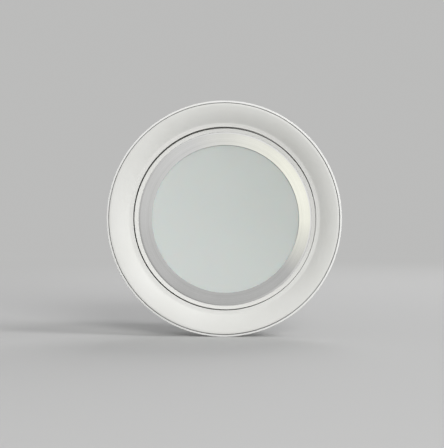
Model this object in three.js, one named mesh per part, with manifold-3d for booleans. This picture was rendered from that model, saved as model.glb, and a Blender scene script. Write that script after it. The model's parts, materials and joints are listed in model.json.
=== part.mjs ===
// Adjustable recessed LED spotlight: a round trim ring held in a panel by two sprung clips, and a
// ball-shaped head inside it that tilts, with the glass, LED board and finned heat sink on it.
// Millimetres, +Z up. The light shines towards -Y, and the body reaches back along +Y. The origin is
// the centre of the flange's rear plane, which lies on the panel.
import * as THREE from 'three';
import { mergeVertices } from 'three/addons/utils/BufferGeometryUtils.js';
import Module from 'manifold-3d';

const wasm = await Module();
wasm.setup();

// Driving dimensions, from the outer edge inwards
const flangeRadius = 60; // outer edge of the whole spotlight
const beadWidth = 0.75; // thin outer edge of the flange
const grooveWidth = 0.45; // dark line inside that edge
const faceRound = 0.4; // rounded crest beside the groove
const crestLand = 0.4; // flat top of the crest
const dishWidth = 8.7; // white face that sinks towards the lip
const lipFillet = 0.4;
const lipWidth = 2.15; // ledge round the seam
const lipLand = 0.3; // flat beside its rounded inner edge
const ledgeSlope = 9; // slope of the ledge and of the head's rim towards the glass, degrees
const seamWidth = 0.72; // gap between the fixed lip and the head's rim
const rimWidth = 1.63; // white rim of the head
const frontRingWidth = 6.2; // turned ring, from the rim to the glass
const flangeRise = 3.8; // height of the crest above the panel
const beadRise = 2.9;
const grooveFloorRise = 1.5;
const outerSlope = 10; // slope of the dish at its crest, degrees
const innerSlope = 38; // and at the lip
const seatGap = 0.3; // clearance between pieces that touch
const clearance = 0.5; // clearance of a running fit
const overrun = 1; // how far a cutter passes the surface that it cuts

// Skirt, which passes through the panel
const skirtWall = 2.2;
const skirtMargin = 0.5; // skirt beyond the pivot pads
const rootWidth = 2; // thicker root that centres the skirt in the cut-out
const rootLength = 2.8;
const lipLength = 1.6;
const padRise = 0.5; // pivot pad inside the skirt

// Gasket in the flange's rear face
const gasketLand = 1.6;
const gasketWidth = 2.6;
const gasketThickness = 1.1;

// Head
const rimDepth = 1.9; // front edge of the head's rim
const rimChamfer = 0.4;
const flatInset = 0.4; // flats on the ball at the pivots
const chamberLength = 8.1; // open space behind the shelf that carries the glass
const shelfThickness = 2;
const bossRadius = 3;
const frontRingStep = 0.75; // ring's edge behind the front edge of the rim
const frontRingSlope = 25.5; // degrees
const frontRingEdge = 0.5; // thickness of its inner edge
const glassOverlap = 1.7; // how far the glass reaches under the front ring
const glassThickness = 3;
const glassChamfer = 0.3;
const glassGasketThickness = 0.6;
const cupFlange = 1;
const cupWall = 1;
const cupTaper = 5.5; // how much narrower the cup's foot is, on the radius
const boardThickness = 1.6;
const boardPlaceShare = 0.42; // board's front face, along the chamber from the shelf
const padThickness = 0.5; // thermal pad
const sealThickness = 0.5;
const sealWidth = 1.5;

// Pivot screws and friction washers
const pivotRadius = 1.8;
const pivotCover = 0.7; // metal between the pivot bores and the front ring's seat
const pivotHeadRadius = 3;
const pivotHeadHeight = 1.2;
const pivotDepthInHead = 3.8;
const washerRadius = 3.9;
const washerThickness = 0.7;

// Spring clips
const clipWidth = 10.8;
const clipSheet = 0.8;
const clipRestAngle = 20; // the arm's lean away from the skirt, degrees
const clipPinRise = 8; // hinge pin above the skirt's rear edge
const clipPinRadius = 1;
const clipLobeRadius = 2.1;
const clipWebInset = 0.5; // the arm's sheet lies this far inside the line from the pin
const curlRadius = 1.3;
const curlAngle = 60; // where the curled tip ends, degrees
const earLengthShare = 0.68; // length of the arm's ears, as a share of the arm's
const earFullShare = 0.3; // and of their full height
const pinHeadShare = 1.5; // head of the hinge pin, as a share of its radius
const prongThickness = 2.2;
const prongWidth = 4;
const prongFoot = 3;
const springWire = 0.8;
const springTurnGap = 0.55;
const springFullTurns = 3;
const springStopWall = 1.3;
const springLegReach = 8.5;

// LED board
const ledSize = 3;
const ledHeight = 0.7;
const wireHoleRadius = 3.5;
const terminalWidth = 8;
const terminalDepth = 4.6;
const terminalHeight = 3.4;

// Screws
const boardScrewRadius = 1;
const boardScrewHeadRadius = 2;
const boardScrewLength = 6;
const sinkScrewRadius = 1.3;
const sinkScrewHeadRadius = 2.6;
const sinkScrewLength = 9;
const screwHeadHeight = 1.8;
const screwTopShare = 0.6; // flat top of a screw's head, as a share of its radius

// Heat sink and cable gland
const spigotInset = 0.8; // spigot beyond the board's edge
const sinkFlangeThickness = 3;
const sinkFlangeInset = 3.2; // flange inside the ball's radius
const finInset = 3.2; // fins inside the flange's edge
const finCount = 24;
const finRoot = 2.2;
const finTip = 1.4;
const finLength = 24;
const finShoulder = 9;
const shoulderBendShare = 0.55; // where the shoulder bends, along its length
const shoulderBendRadiusShare = 0.96; // and as a share of the fins' radius
const crownRadiusShare = 0.84; // flat rear ends of the fins, as a share of their radius
const hubRadius = 13;
const hubRecess = 4; // the gland's seat below the fins' ends
const hubMouthShare = 1.4; // the recess is wider than the hub by this share of its depth
const hubFloorShare = 0.2; // and at its floor by this one
const glandThreadRadius = 6;
const glandThreadLength = 8;
const glandAcrossFlats = 16;
const glandHexThickness = 4;
const glandNeckLength = 7;
const glandWall = 1.6;
const cableBoreRadius = 3.6;
const glandSealWall = 1.2;
const glandCrown = 3;
const glandCrownShare = 1.6; // wall left at the crown's top, as a share of the gland's wall

const roundSteps = 60; // facets round the trim ring
const headSteps = 48; // round the head's shell and front ring
const innerSteps = 40; // round the pieces inside the head
const smallSteps = 16; // round the gland and the pivots
const screwSteps = 8;

// Sizes worked out from those
const degrees = Math.PI / 180;
const grooveOuterRadius = flangeRadius - beadWidth;
const faceWallRadius = grooveOuterRadius - grooveWidth;
const crestRadius = faceWallRadius - faceRound - crestLand;
const dishFootRadius = crestRadius - dishWidth;
const lipOuterRadius = dishFootRadius - lipFillet;
const lipRadius = lipOuterRadius - lipWidth;
const rimRadius = lipRadius - seamWidth;
const shellBoreRadius = rimRadius - rimWidth;
const frontRingRadius = shellBoreRadius - seatGap;
const apertureRadius = frontRingRadius - frontRingWidth;
const pivotBoreRadius = pivotRadius + seatGap;
const padRadius = washerRadius + clearance;

// Depths of the front ring, and of the tilt axis behind its seat
const frontRingFront = rimDepth + frontRingStep;
const frontRingRear = frontRingFront + frontRingWidth * Math.tan(frontRingSlope * degrees) + frontRingEdge;
const glassFront = frontRingRear + seatGap;
const pivotDepth = glassFront + pivotBoreRadius + pivotCover;
const skirtLength = pivotDepth + padRadius + skirtMargin;

// Radii from the ball outwards to the gasket
const ballRadius = Math.hypot(rimRadius, pivotDepth - rimDepth);
const pivotFlat = ballRadius - flatInset;
const washerInnerFace = pivotFlat + seatGap;
const padFace = washerInnerFace + washerThickness + seatGap;
const skirtInnerRadius = padFace + padRise;
const skirtRadius = skirtInnerRadius + skirtWall;
const rootRadius = skirtRadius + rootWidth;
const gasketRecessInner = rootRadius + gasketLand;
const gasketRecessOuter = gasketRecessInner + gasketWidth + 2 * seatGap;
const gasketRecessDepth = gasketThickness + seatGap;

// How deep the dish lies at a share of its width, 0 at the crest and 1 at the lip: its slope grows
// evenly from the outer to the inner one.
function dishDepth(share) {
  const outer = Math.tan(outerSlope * degrees);
  const inner = Math.tan(innerSlope * degrees);
  return -flangeRise + dishWidth * (outer * share + (inner - outer) * share * share / 2);
}
const ledgeFall = Math.tan(ledgeSlope * degrees); // depth for each millimetre of the ledge
const lipOuterDepth = dishDepth(1) + lipFillet / 2;
const lipDepth = lipOuterDepth + (lipWidth - lipFillet - lipLand) * ledgeFall;
const lipRear = lipDepth + lipLength;
const skirtFront = lipRear + skirtInnerRadius - lipRadius; // where the skirt's inner wall starts

// Depths inside the head, from the glass back
const glassRear = glassFront + glassThickness;
const glassGasketFront = glassRear + seatGap;
const cupFront = glassGasketFront + glassGasketThickness + seatGap;
const shelfFront = cupFront + cupFlange + seatGap;
const shelfRear = shelfFront + shelfThickness;
const shellRear = shelfRear + chamberLength;
const sealFront = shellRear + seatGap;
const sinkFlangeFront = sealFront + sealThickness + seatGap;
const sinkFlangeRear = sinkFlangeFront + sinkFlangeThickness;
const boardFront = shelfRear + chamberLength * boardPlaceShare;
const boardRear = boardFront + boardThickness;
const thermalPadFront = boardRear + seatGap;
const spigotFront = thermalPadFront + padThickness + seatGap;
const finRear = sinkFlangeRear + finLength;
const hubRear = finRear - hubRecess;

// Radii inside the head
const glassRadius = apertureRadius + glassOverlap;
const pocketRadius = glassRadius + 2 * seatGap;
const shelfRadius = apertureRadius + clearance;
const chamberRadius = pocketRadius + cupWall;
const bossCircle = chamberRadius - sinkScrewRadius - seatGap;
const cupFootRadius = apertureRadius - cupTaper;
const boardRadius = bossCircle - bossRadius - clearance - spigotInset;
const spigotRadius = boardRadius + spigotInset;
const sinkFlangeRadius = ballRadius - sinkFlangeInset;
const finRadius = sinkFlangeRadius - finInset;

// Places of the clips
const prongInnerZ = clipWidth / 2 + clearance;
const prongOuterZ = prongInnerZ + prongThickness;
const prongInnerX = Math.sqrt(skirtInnerRadius ** 2 - prongOuterZ ** 2);
const clipPinX = prongInnerX + prongWidth / 2;
const clipPinY = skirtLength + clipPinRise;
const springStopRear = clipPinY - clipLobeRadius - 2 * clearance;

// Finishes
const whiteLacquer = { color: 0xe9e9e4, roughness: 0.45, metalness: 0 };
const turnedAluminium = { color: 0xc9c8c2, roughness: 0.28, metalness: 1 };
const castAluminium = { color: 0xa9abab, roughness: 0.55, metalness: 1 };
const frostedGlass = { color: 0xcfd5cf, roughness: 0.5, metalness: 0 };
const springSteel = { color: 0x8f9294, roughness: 0.3, metalness: 1 };
const zincSteel = { color: 0xb4b6b4, roughness: 0.35, metalness: 1 };
const blackRubber = { color: 0x232424, roughness: 0.8, metalness: 0 };
const clearSilicone = { color: 0xd8d9d4, roughness: 0.6, metalness: 0 };
const greyPad = { color: 0x8d9296, roughness: 0.8, metalness: 0 };
const whiteMoulding = { color: 0xf0f0ec, roughness: 0.5, metalness: 0 };
const whiteSolderMask = { color: 0xe6e7e2, roughness: 0.4, metalness: 0 };
const acetal = { color: 0xe2e2da, roughness: 0.5, metalness: 0 };
const blackNylon = { color: 0x1d1e20, roughness: 0.55, metalness: 0 };

// A closed geometry with its shared corners merged, its empty triangles dropped and its faces
// pointing outwards.
function welded(geometry) {
  geometry.deleteAttribute('normal');
  geometry.deleteAttribute('uv');
  const merged = mergeVertices(geometry);
  const corners = merged.getIndex().array;
  const place = merged.getAttribute('position');
  const [a, b, c] = [new THREE.Vector3(), new THREE.Vector3(), new THREE.Vector3()];
  const kept = [];
  let volume = 0;
  for (let i = 0; i < corners.length; i += 3) {
    const [p, q, r] = corners.slice(i, i + 3);
    if (p === q || q === r || r === p) continue;
    kept.push(p, q, r);
    a.fromBufferAttribute(place, p);
    b.fromBufferAttribute(place, q);
    c.fromBufferAttribute(place, r);
    volume += a.dot(b.cross(c));
  }
  if (volume < 0) kept.reverse();
  merged.setIndex(kept);
  return merged;
}

function toSolid(geometry) {
  const closed = welded(geometry);
  return new wasm.Manifold(new wasm.Mesh({
    numProp: 3,
    vertProperties: new Float32Array(closed.getAttribute('position').array),
    triVerts: new Uint32Array(closed.getIndex().array),
  }));
}

function toGeometry(solid) {
  const mesh = solid.getMesh();
  const geometry = new THREE.BufferGeometry();
  geometry.setAttribute('position', new THREE.BufferAttribute(mesh.vertProperties, 3));
  geometry.setIndex(new THREE.BufferAttribute(mesh.triVerts, 1));
  return geometry;
}

// A closed outline of [radius, depth] points turned about the Y axis.
function turned(outline, steps = innerSteps) {
  const points = [...outline, outline[0]].map(([radius, depth]) => new THREE.Vector2(radius, depth));
  return new THREE.LatheGeometry(points, steps);
}

function flatRing(inner, outer, front, thickness, steps = innerSteps) {
  const rear = front + thickness;
  return turned([[inner, front], [outer, front], [outer, rear], [inner, rear]], steps);
}

// A round bar along Y from one depth to another.
function bar(radius, from, to, steps = screwSteps) {
  return new THREE.CylinderGeometry(radius, radius, to - from, steps).translate(0, (from + to) / 2, 0);
}

// The same along X, and along Z through a point.
function crossBar(radius, from, to, depth, steps = smallSteps) {
  return bar(radius, from, to, steps).rotateZ(-Math.PI / 2).translate(0, depth, 0);
}

function pinBar(radius, half, x, depth, steps = screwSteps) {
  return bar(radius, -half, half, steps).rotateX(Math.PI / 2).translate(x, depth, 0);
}

function block(from, to) {
  const size = to.map((end, i) => end - from[i]);
  const middle = to.map((end, i) => (end + from[i]) / 2);
  return new THREE.BoxGeometry(...size).translate(...middle);
}

// Points of an arc, from one angle to another in degrees.
function arc([x, y], radius, from, to, steps = 2) {
  return Array.from({ length: steps + 1 }, (_, i) => {
    const angle = (from + (to - from) * i / steps) * degrees;
    return [x + radius * Math.cos(angle), y + radius * Math.sin(angle)];
  });
}

// An outline in the XY plane given a thickness along Z, centred on a height.
function plate(outline, thickness, height = 0) {
  const shape = new THREE.Shape(outline.map(([x, y]) => new THREE.Vector2(x, y)));
  const geometry = new THREE.ExtrudeGeometry(shape, { depth: thickness, bevelEnabled: false });
  return geometry.translate(0, 0, height - thickness / 2);
}

// Places on a circle round the Y axis, as [x, z].
function onCircle(radius, count, firstAngle = 0) {
  return Array.from({ length: count }, (_, i) => {
    const angle = firstAngle * degrees + 2 * Math.PI * i / count;
    return [radius * Math.cos(angle), radius * Math.sin(angle)];
  });
}

const spotlight = new THREE.Group();
spotlight.name = 'led_spotlight';
const trim = new THREE.Group();
const head = new THREE.Group();
spotlight.add(trim, head);

function addPiece(group, name, geometry, finish) {
  const piece = new THREE.Mesh(welded(geometry), new THREE.MeshStandardMaterial(finish));
  piece.name = name;
  group.add(piece);
  return piece;
}

// Trim ring: one casting with the dished flange, the lip, the skirt, a pad inside the skirt at each
// pivot and two prongs for each clip, with a low wall between them that stops the spring's leg.
function trimRing() {
  const dishSteps = 6;
  const dish = Array.from({ length: dishSteps + 1 }, (_, i) => {
    const share = 1 - i / dishSteps;
    return [crestRadius - dishWidth * share, dishDepth(share)];
  });
  const crest = [crestRadius + crestLand, -flangeRise + faceRound];
  const edge = [flangeRadius - faceRound, -beadRise + faceRound];
  const section = [
    ...arc([lipRadius + lipFillet, lipDepth + lipFillet], lipFillet, 180, 270),
    [lipRadius + lipFillet + lipLand, lipDepth],
    [lipOuterRadius, lipOuterDepth],
    ...dish,
    ...arc(crest, faceRound, -90, 0),
    [faceWallRadius, -grooveFloorRise],
    [grooveOuterRadius, -grooveFloorRise],
    [grooveOuterRadius, -beadRise],
    ...arc(edge, faceRound, -90, 0),
    [flangeRadius, -faceRound],
    [flangeRadius - faceRound, 0],
    [gasketRecessOuter, 0],
    [gasketRecessOuter, -gasketRecessDepth],
    [gasketRecessInner, -gasketRecessDepth],
    [gasketRecessInner, 0],
    [rootRadius, 0],
    [skirtRadius, rootLength],
    [skirtRadius, skirtLength - faceRound],
    [skirtRadius - faceRound, skirtLength],
    [skirtInnerRadius, skirtLength],
    [skirtInnerRadius, skirtFront],
    [lipRadius, lipRear],
  ];
  let ring = toSolid(turned(section, roundSteps));
  const prongRound = prongWidth / 2;
  const prongOuterX = prongInnerX + prongWidth;
  const prong = [
    [prongInnerX, skirtLength - prongFoot],
    [skirtRadius - skirtWall / 2, skirtLength - prongFoot],
    [prongOuterX, skirtLength + prongFoot],
    ...arc([clipPinX, clipPinY], prongRound, 0, 180, 6),
  ];
  for (const side of [1, -1]) {
    const turn = side > 0 ? 0 : Math.PI;
    const wallInner = skirtInnerRadius;
    const wallOuter = skirtInnerRadius + springStopWall;
    ring = ring.add(toSolid(crossBar(padRadius, padFace, padFace + skirtWall, pivotDepth).rotateY(turn)));
    for (const height of [prongInnerZ + prongThickness / 2, -prongInnerZ - prongThickness / 2]) {
      ring = ring.add(toSolid(plate(prong, prongThickness, height).rotateY(turn)));
    }
    const stopFrom = [wallInner, skirtLength - prongFoot, -prongInnerZ - prongThickness / 2];
    const stopTo = [wallOuter, springStopRear, prongInnerZ + prongThickness / 2];
    ring = ring.add(toSolid(block(stopFrom, stopTo).rotateY(turn)));
    const pinBore = pinBar(clipPinRadius + seatGap, prongOuterZ + overrun, clipPinX, clipPinY);
    ring = ring.subtract(toSolid(pinBore.rotateY(turn)));
    const bore = crossBar(pivotBoreRadius, padFace - overrun, skirtRadius + overrun, pivotDepth);
    ring = ring.subtract(toSolid(bore.rotateY(turn)));
  }
  return toGeometry(ring);
}

// Head shell: a zone of a ball, with a pocket for glass and front ring, a shelf behind the glass,
// four screw bosses at the back, and flats with blind bores for the pivots.
function headShell() {
  const onBall = (depth) => [Math.sqrt(ballRadius ** 2 - (depth - pivotDepth) ** 2), depth];
  const zoneSteps = 9;
  const zoneFront = rimDepth + rimChamfer;
  const zone = Array.from({ length: zoneSteps + 1 }, (_, i) => (
    onBall(zoneFront + (shellRear - zoneFront) * i / zoneSteps)
  ));
  const innerDepth = rimDepth + (rimWidth - rimChamfer) * ledgeFall;
  const section = [
    [shellBoreRadius, innerDepth + rimChamfer / 2],
    [shellBoreRadius + rimChamfer / 2, innerDepth],
    [rimRadius - rimChamfer, rimDepth],
    ...zone,
    [chamberRadius, shellRear],
    [chamberRadius, shelfRear],
    [shelfRadius, shelfRear],
    [shelfRadius, shelfFront],
    [pocketRadius, shelfFront],
    [pocketRadius, glassFront],
    [shellBoreRadius, glassFront],
  ];
  let shell = toSolid(turned(section, headSteps));
  for (const [x, z] of onCircle(bossCircle, 4, 45)) {
    const boss = bar(bossRadius, shelfRear - shelfThickness / 4, shellRear, smallSteps / 2);
    const bore = bar(sinkScrewRadius + seatGap, shellRear - sinkScrewLength, shellRear + overrun);
    shell = shell.add(toSolid(boss.translate(x, 0, z)));
    shell = shell.subtract(toSolid(bore.translate(x, 0, z)));
  }
  for (const turn of [0, Math.PI]) {
    const reach = ballRadius + overrun;
    const flat = block([pivotFlat, pivotDepth - reach, -reach], [reach, pivotDepth + reach, reach]);
    const bore = crossBar(pivotBoreRadius, pivotFlat - pivotDepthInHead - seatGap, reach, pivotDepth);
    shell = shell.subtract(toSolid(flat.rotateY(turn)));
    shell = shell.subtract(toSolid(bore.rotateY(turn)));
  }
  return toGeometry(shell);
}

// Turned ring between the rim and the glass: a cone that falls towards the glass.
function frontRing() {
  const coneFoot = frontRingRear - frontRingEdge;
  return turned([
    [apertureRadius, coneFoot],
    [frontRingRadius - rimChamfer / 2, frontRingFront],
    [frontRingRadius, frontRingFront + rimChamfer / 2],
    [frontRingRadius, frontRingRear],
    [apertureRadius, frontRingRear],
  ], headSteps);
}

function diffuserGlass() {
  return turned([
    [0, glassFront],
    [glassRadius - glassChamfer, glassFront],
    [glassRadius, glassFront + glassChamfer],
    [glassRadius, glassRear - glassChamfer],
    [glassRadius - glassChamfer, glassRear],
    [0, glassRear],
  ]);
}

// White cup between the LEDs and the glass. Its flange lies on the shelf, its foot on the board.
function mixingReflector() {
  const foot = boardFront - seatGap;
  const flangeRear = cupFront + cupFlange;
  const outerRadius = shelfRadius - seatGap;
  return turned([
    [outerRadius - cupWall, cupFront],
    [glassRadius, cupFront],
    [glassRadius, flangeRear],
    [outerRadius, flangeRear],
    [cupFootRadius, foot],
    [cupFootRadius - cupWall, foot],
  ]);
}

// Where the board's screws, holes and LED packages stand
const boardScrewCircle = cupFootRadius - cupWall - boardScrewHeadRadius - clearance;
const boardScrewPlaces = onCircle(boardScrewCircle, 3, 30);
const boardHoles = [
  [0, 0, wireHoleRadius],
  ...boardScrewPlaces.map((place) => [...place, boardScrewRadius + seatGap]),
];
const innerLedCircle = wireHoleRadius + terminalDepth + ledSize + 2 * clearance;
const outerLedCircle = (innerLedCircle + boardScrewCircle) / 2;
const ledRings = [[6, innerLedCircle, 90], [12, outerLedCircle, 105]]; // count, radius, first angle

function ledBoard() {
  let board = toSolid(bar(boardRadius, boardFront, boardRear, innerSteps));
  const half = ledSize / 2;
  for (const [count, radius, firstAngle] of ledRings) {
    for (const [x, z] of onCircle(radius, count, firstAngle)) {
      const from = [x - half, boardFront - ledHeight, z - half];
      board = board.add(toSolid(block(from, [x + half, boardRear - boardThickness / 2, z + half])));
    }
  }
  for (const [x, z, radius] of boardHoles) {
    const hole = bar(radius, boardFront - overrun, boardRear + overrun).translate(x, 0, z);
    board = board.subtract(toSolid(hole));
  }
  return toGeometry(board);
}

function thermalPad() {
  const rear = thermalPadFront + padThickness;
  let pad = toSolid(bar(boardRadius - seatGap, thermalPadFront, rear, innerSteps));
  for (const [x, z, radius] of boardHoles) {
    const hole = bar(radius, thermalPadFront - overrun, rear + overrun).translate(x, 0, z);
    pad = pad.subtract(toSolid(hole));
  }
  return toGeometry(pad);
}

// Terminal block on the board beside the wire hole, with an entry for each of the two wires.
function terminalBlock() {
  const rear = boardFront - seatGap;
  const front = rear - terminalHeight;
  const top = -wireHoleRadius - clearance;
  let body = toSolid(block([-terminalWidth / 2, front, top - terminalDepth], [terminalWidth / 2, rear, top]));
  for (const x of [-terminalWidth / 4, terminalWidth / 4]) {
    const entry = bar(terminalWidth / 8, 0, terminalDepth / 2 + overrun).rotateX(Math.PI / 2);
    body = body.subtract(toSolid(entry.translate(x, (front + rear) / 2, top - terminalDepth / 2)));
  }
  return toGeometry(body);
}

// A screw along Y with its seat at zero, the head towards +Y and the shank towards -Y.
function screw(radius, headRadius, headHeight, length, steps = screwSteps) {
  return turned([
    [0, -length],
    [radius, -length],
    [radius, 0],
    [headRadius, 0],
    [headRadius, headHeight / 2],
    [headRadius * screwTopShare, headHeight],
    [0, headHeight],
  ], steps);
}

// Heat sink: radial fins that taper to their tips, inside a turned outline with a sloping shoulder,
// on a round base with a spigot that carries the board.
function heatSink() {
  const finBase = sinkFlangeRear - sinkFlangeThickness / 2;
  const halfPitch = 180 / finCount;
  const outline = [];
  for (let k = 0; k < finCount; k += 1) {
    const along = (2 * k + 1) * halfPitch * degrees;
    const [x, z] = [Math.cos(along), Math.sin(along)];
    const root = hubRadius * Math.cos(halfPitch * degrees);
    const tip = finRadius + overrun;
    for (const [reach, half] of [[root, -finRoot], [tip, -finTip], [tip, finTip], [root, finRoot]]) {
      outline.push([x * reach - z * half / 2, z * reach + x * half / 2]);
    }
  }
  const fins = plate(outline, finRear - finBase).rotateX(-Math.PI / 2);
  fins.translate(0, (finRear + finBase) / 2, 0);
  const shoulder = finRear - finShoulder;
  const envelope = [
    [0, finBase],
    [finRadius, finBase],
    [finRadius, shoulder],
    [finRadius * shoulderBendRadiusShare, shoulder + finShoulder * shoulderBendShare],
    [finRadius * crownRadiusShare, finRear],
    [hubRadius + hubRecess * hubMouthShare, finRear],
    [hubRadius + hubRecess * hubFloorShare, hubRear],
    [0, hubRear],
  ];
  const base = [
    [0, spigotFront],
    [spigotRadius, spigotFront],
    [spigotRadius, sinkFlangeFront],
    [sinkFlangeRadius, sinkFlangeFront],
    [sinkFlangeRadius, sinkFlangeRear],
    [0, sinkFlangeRear],
  ];
  let sink = toSolid(fins).intersect(toSolid(turned(envelope)));
  sink = sink.add(toSolid(turned(base)));
  sink = sink.subtract(toSolid(bar(cableBoreRadius, spigotFront - overrun, finRear, smallSteps)));
  const threadFront = hubRear - glandThreadLength - seatGap;
  const threadBore = bar(glandThreadRadius + seatGap, threadFront, finRear, smallSteps);
  sink = sink.subtract(toSolid(threadBore));
  for (const [x, z] of onCircle(bossCircle, 4, 45)) {
    const hole = bar(sinkScrewRadius + seatGap, sinkFlangeFront - overrun, sinkFlangeRear + overrun);
    sink = sink.subtract(toSolid(hole.translate(x, 0, z)));
  }
  for (const [x, z] of boardScrewPlaces) {
    const hole = bar(boardScrewRadius + seatGap, spigotFront - overrun, boardFront + boardScrewLength);
    sink = sink.subtract(toSolid(hole.translate(x, 0, z)));
  }
  return toGeometry(sink);
}

// Cable gland: a body screwed into the hub, a rubber seal in its neck and a crowned nut over it.
const glandHexRadius = glandAcrossFlats / 2 / Math.cos(Math.PI / 6);
const glandBodyFront = hubRear + seatGap;
const glandHexRear = glandBodyFront + glandHexThickness;
const glandNeckRear = glandHexRear + glandNeckLength;
const glandNeckRadius = cableBoreRadius + glandSealWall + glandWall;
const glandSealRadius = cableBoreRadius + glandSealWall;

function glandBody() {
  let body = toSolid(bar(glandHexRadius, glandBodyFront, glandHexRear, 6));
  const threadFront = glandBodyFront - glandThreadLength;
  body = body.add(toSolid(bar(glandThreadRadius, threadFront, glandHexRear, smallSteps)));
  body = body.add(toSolid(bar(glandNeckRadius, glandHexRear - overrun, glandNeckRear, smallSteps)));
  body = body.subtract(toSolid(bar(cableBoreRadius, threadFront - overrun, glandNeckRear, smallSteps)));
  const seat = bar(glandSealRadius + seatGap / 2, glandHexRear, glandNeckRear + overrun, smallSteps);
  return toGeometry(body.subtract(toSolid(seat)));
}

function glandSeal() {
  const front = glandHexRear + seatGap;
  const thickness = glandNeckRear - front;
  return flatRing(cableBoreRadius, glandSealRadius - seatGap / 2, front, thickness, smallSteps);
}

function glandNut() {
  const front = glandHexRear + seatGap;
  const rear = glandNeckRear + 2 * seatGap;
  const crown = [
    [0, front],
    [glandHexRadius, front],
    [glandHexRadius, rear - glandWall],
    [glandNeckRadius + glandWall, rear],
    [cableBoreRadius + glandWall * glandCrownShare, rear + glandCrown],
    [0, rear + glandCrown],
  ];
  let nut = toSolid(bar(glandHexRadius, front, rear + glandCrown, 6));
  nut = nut.intersect(toSolid(turned(crown, smallSteps)));
  const inside = bar(glandNeckRadius + seatGap, front - overrun, glandNeckRear + seatGap, smallSteps);
  nut = nut.subtract(toSolid(inside));
  nut = nut.subtract(toSolid(bar(cableBoreRadius, front, rear + glandCrown + overrun, smallSteps)));
  return toGeometry(nut);
}

// Clip arm in its own frame: the pin lies along Z at the origin, the arm reaches along +X, and +Y
// is its outer side. Pressed from sheet, with an ear at each side and a curled tip.
const webMiddle = -clipWebInset;
const curlOuterRadius = curlRadius + clipSheet / 2;
const lean = clipRestAngle * degrees;
const curlLift = (webMiddle + curlRadius) * Math.sin(lean) - curlOuterRadius - seatGap;
const armReach = (clipPinY + curlLift) / Math.cos(lean);

function clipArm() {
  const half = clipSheet / 2;
  const webStart = clipLobeRadius + clipSheet;
  const curlCentre = [armReach, webMiddle + curlRadius];
  const web = [
    [webStart, webMiddle - half],
    ...arc(curlCentre, curlOuterRadius, -90, curlAngle, 6),
    ...arc(curlCentre, curlRadius - half, curlAngle, -90, 6),
    [webStart, webMiddle + half],
  ];
  const earEnd = armReach * earLengthShare;
  const ear = [
    ...arc([0, 0], clipLobeRadius, 90, 270, 6),
    [webStart, webMiddle - half],
    [earEnd, webMiddle - half],
    [earEnd, webMiddle + half],
    [armReach * earFullShare, clipLobeRadius],
  ];
  let arm = toSolid(plate(web, clipWidth));
  for (const height of [clipWidth / 2 - half, half - clipWidth / 2]) {
    arm = arm.add(toSolid(plate(ear, clipSheet, height)));
  }
  return toGeometry(arm.subtract(toSolid(pinBar(clipPinRadius + seatGap, clipWidth, 0, 0))));
}

// Hinge pin along Z, with a head at one end and a riveted collar at the other.
function clipPin() {
  const end = prongOuterZ + seatGap;
  const collar = clipPinRadius * pinHeadShare;
  return turned([
    [0, -end - clipSheet],
    [collar, -end - clipSheet],
    [collar, -end],
    [clipPinRadius, -end],
    [clipPinRadius, end],
    [collar, end],
    [collar, end + clipSheet],
    [0, end + clipSheet],
  ], screwSteps).rotateX(Math.PI / 2);
}

// Torsion spring round the pin, in the trim's directions with the pin at the origin. The wire comes
// up behind the stop wall, winds down round the pin, and leaves along the outside of the arm.
class ClipSpringWire extends THREE.Curve {
  constructor() {
    super();
    this.coilRadius = clipPinRadius + clearance + springWire / 2;
    this.pitch = springWire + springTurnGap;
    this.winding = Math.PI - lean + 2 * Math.PI * springFullTurns;
    this.halfHeight = this.pitch * this.winding / (4 * Math.PI);
    this.stopX = skirtInnerRadius - seatGap - springWire / 2 - clipPinX;
    this.stopLeg = clipPinY - skirtLength - springWire * 2.5;
    this.armSide = webMiddle + clipSheet / 2 + seatGap + springWire / 2;
    this.coilLength = this.winding * Math.hypot(this.coilRadius, this.pitch / (2 * Math.PI));
    this.length = this.stopLeg + this.coilLength + springLegReach;
  }

  // A smooth step from 0 to 1 between two lengths.
  static ease(at, from, to) {
    const share = THREE.MathUtils.clamp((at - from) / (to - from), 0, 1);
    return share * share * (3 - 2 * share);
  }

  getPoint(t, target = new THREE.Vector3()) {
    const at = t * this.length;
    const clear = this.coilRadius;
    if (at < this.stopLeg) {
      const left = this.stopLeg - at;
      const bend = ClipSpringWire.ease(left, clear, clear + 2 * springWire);
      return target.set(-this.coilRadius + (this.stopX + this.coilRadius) * bend, -left, -this.halfHeight);
    }
    if (at < this.stopLeg + this.coilLength) {
      const share = (at - this.stopLeg) / this.coilLength;
      const angle = Math.PI - this.winding * share;
      const height = this.halfHeight * (2 * share - 1);
      return target.set(this.coilRadius * Math.cos(angle), this.coilRadius * Math.sin(angle), height);
    }
    const along = at - this.stopLeg - this.coilLength;
    const bend = ClipSpringWire.ease(along, clear, clear + 3 * springWire);
    const side = this.coilRadius + (this.armSide - this.coilRadius) * bend;
    const [sine, cosine] = [Math.sin(lean), Math.cos(lean)];
    return target.set(along * sine + side * cosine, -along * cosine + side * sine, this.halfHeight);
  }
}

// Least gap between stretches of the wire that aren't neighbours along it.
function leastGap(wire, wireDiameter) {
  const count = 600;
  const points = wire.getPoints(count);
  const apart = Math.ceil(count * Math.PI * wireDiameter / wire.length);
  let least = Infinity;
  for (let i = 0; i <= count; i += 1) {
    for (let j = i + apart; j <= count; j += 1) {
      least = Math.min(least, points[i].distanceTo(points[j]) - wireDiameter);
    }
  }
  return least;
}

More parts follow.
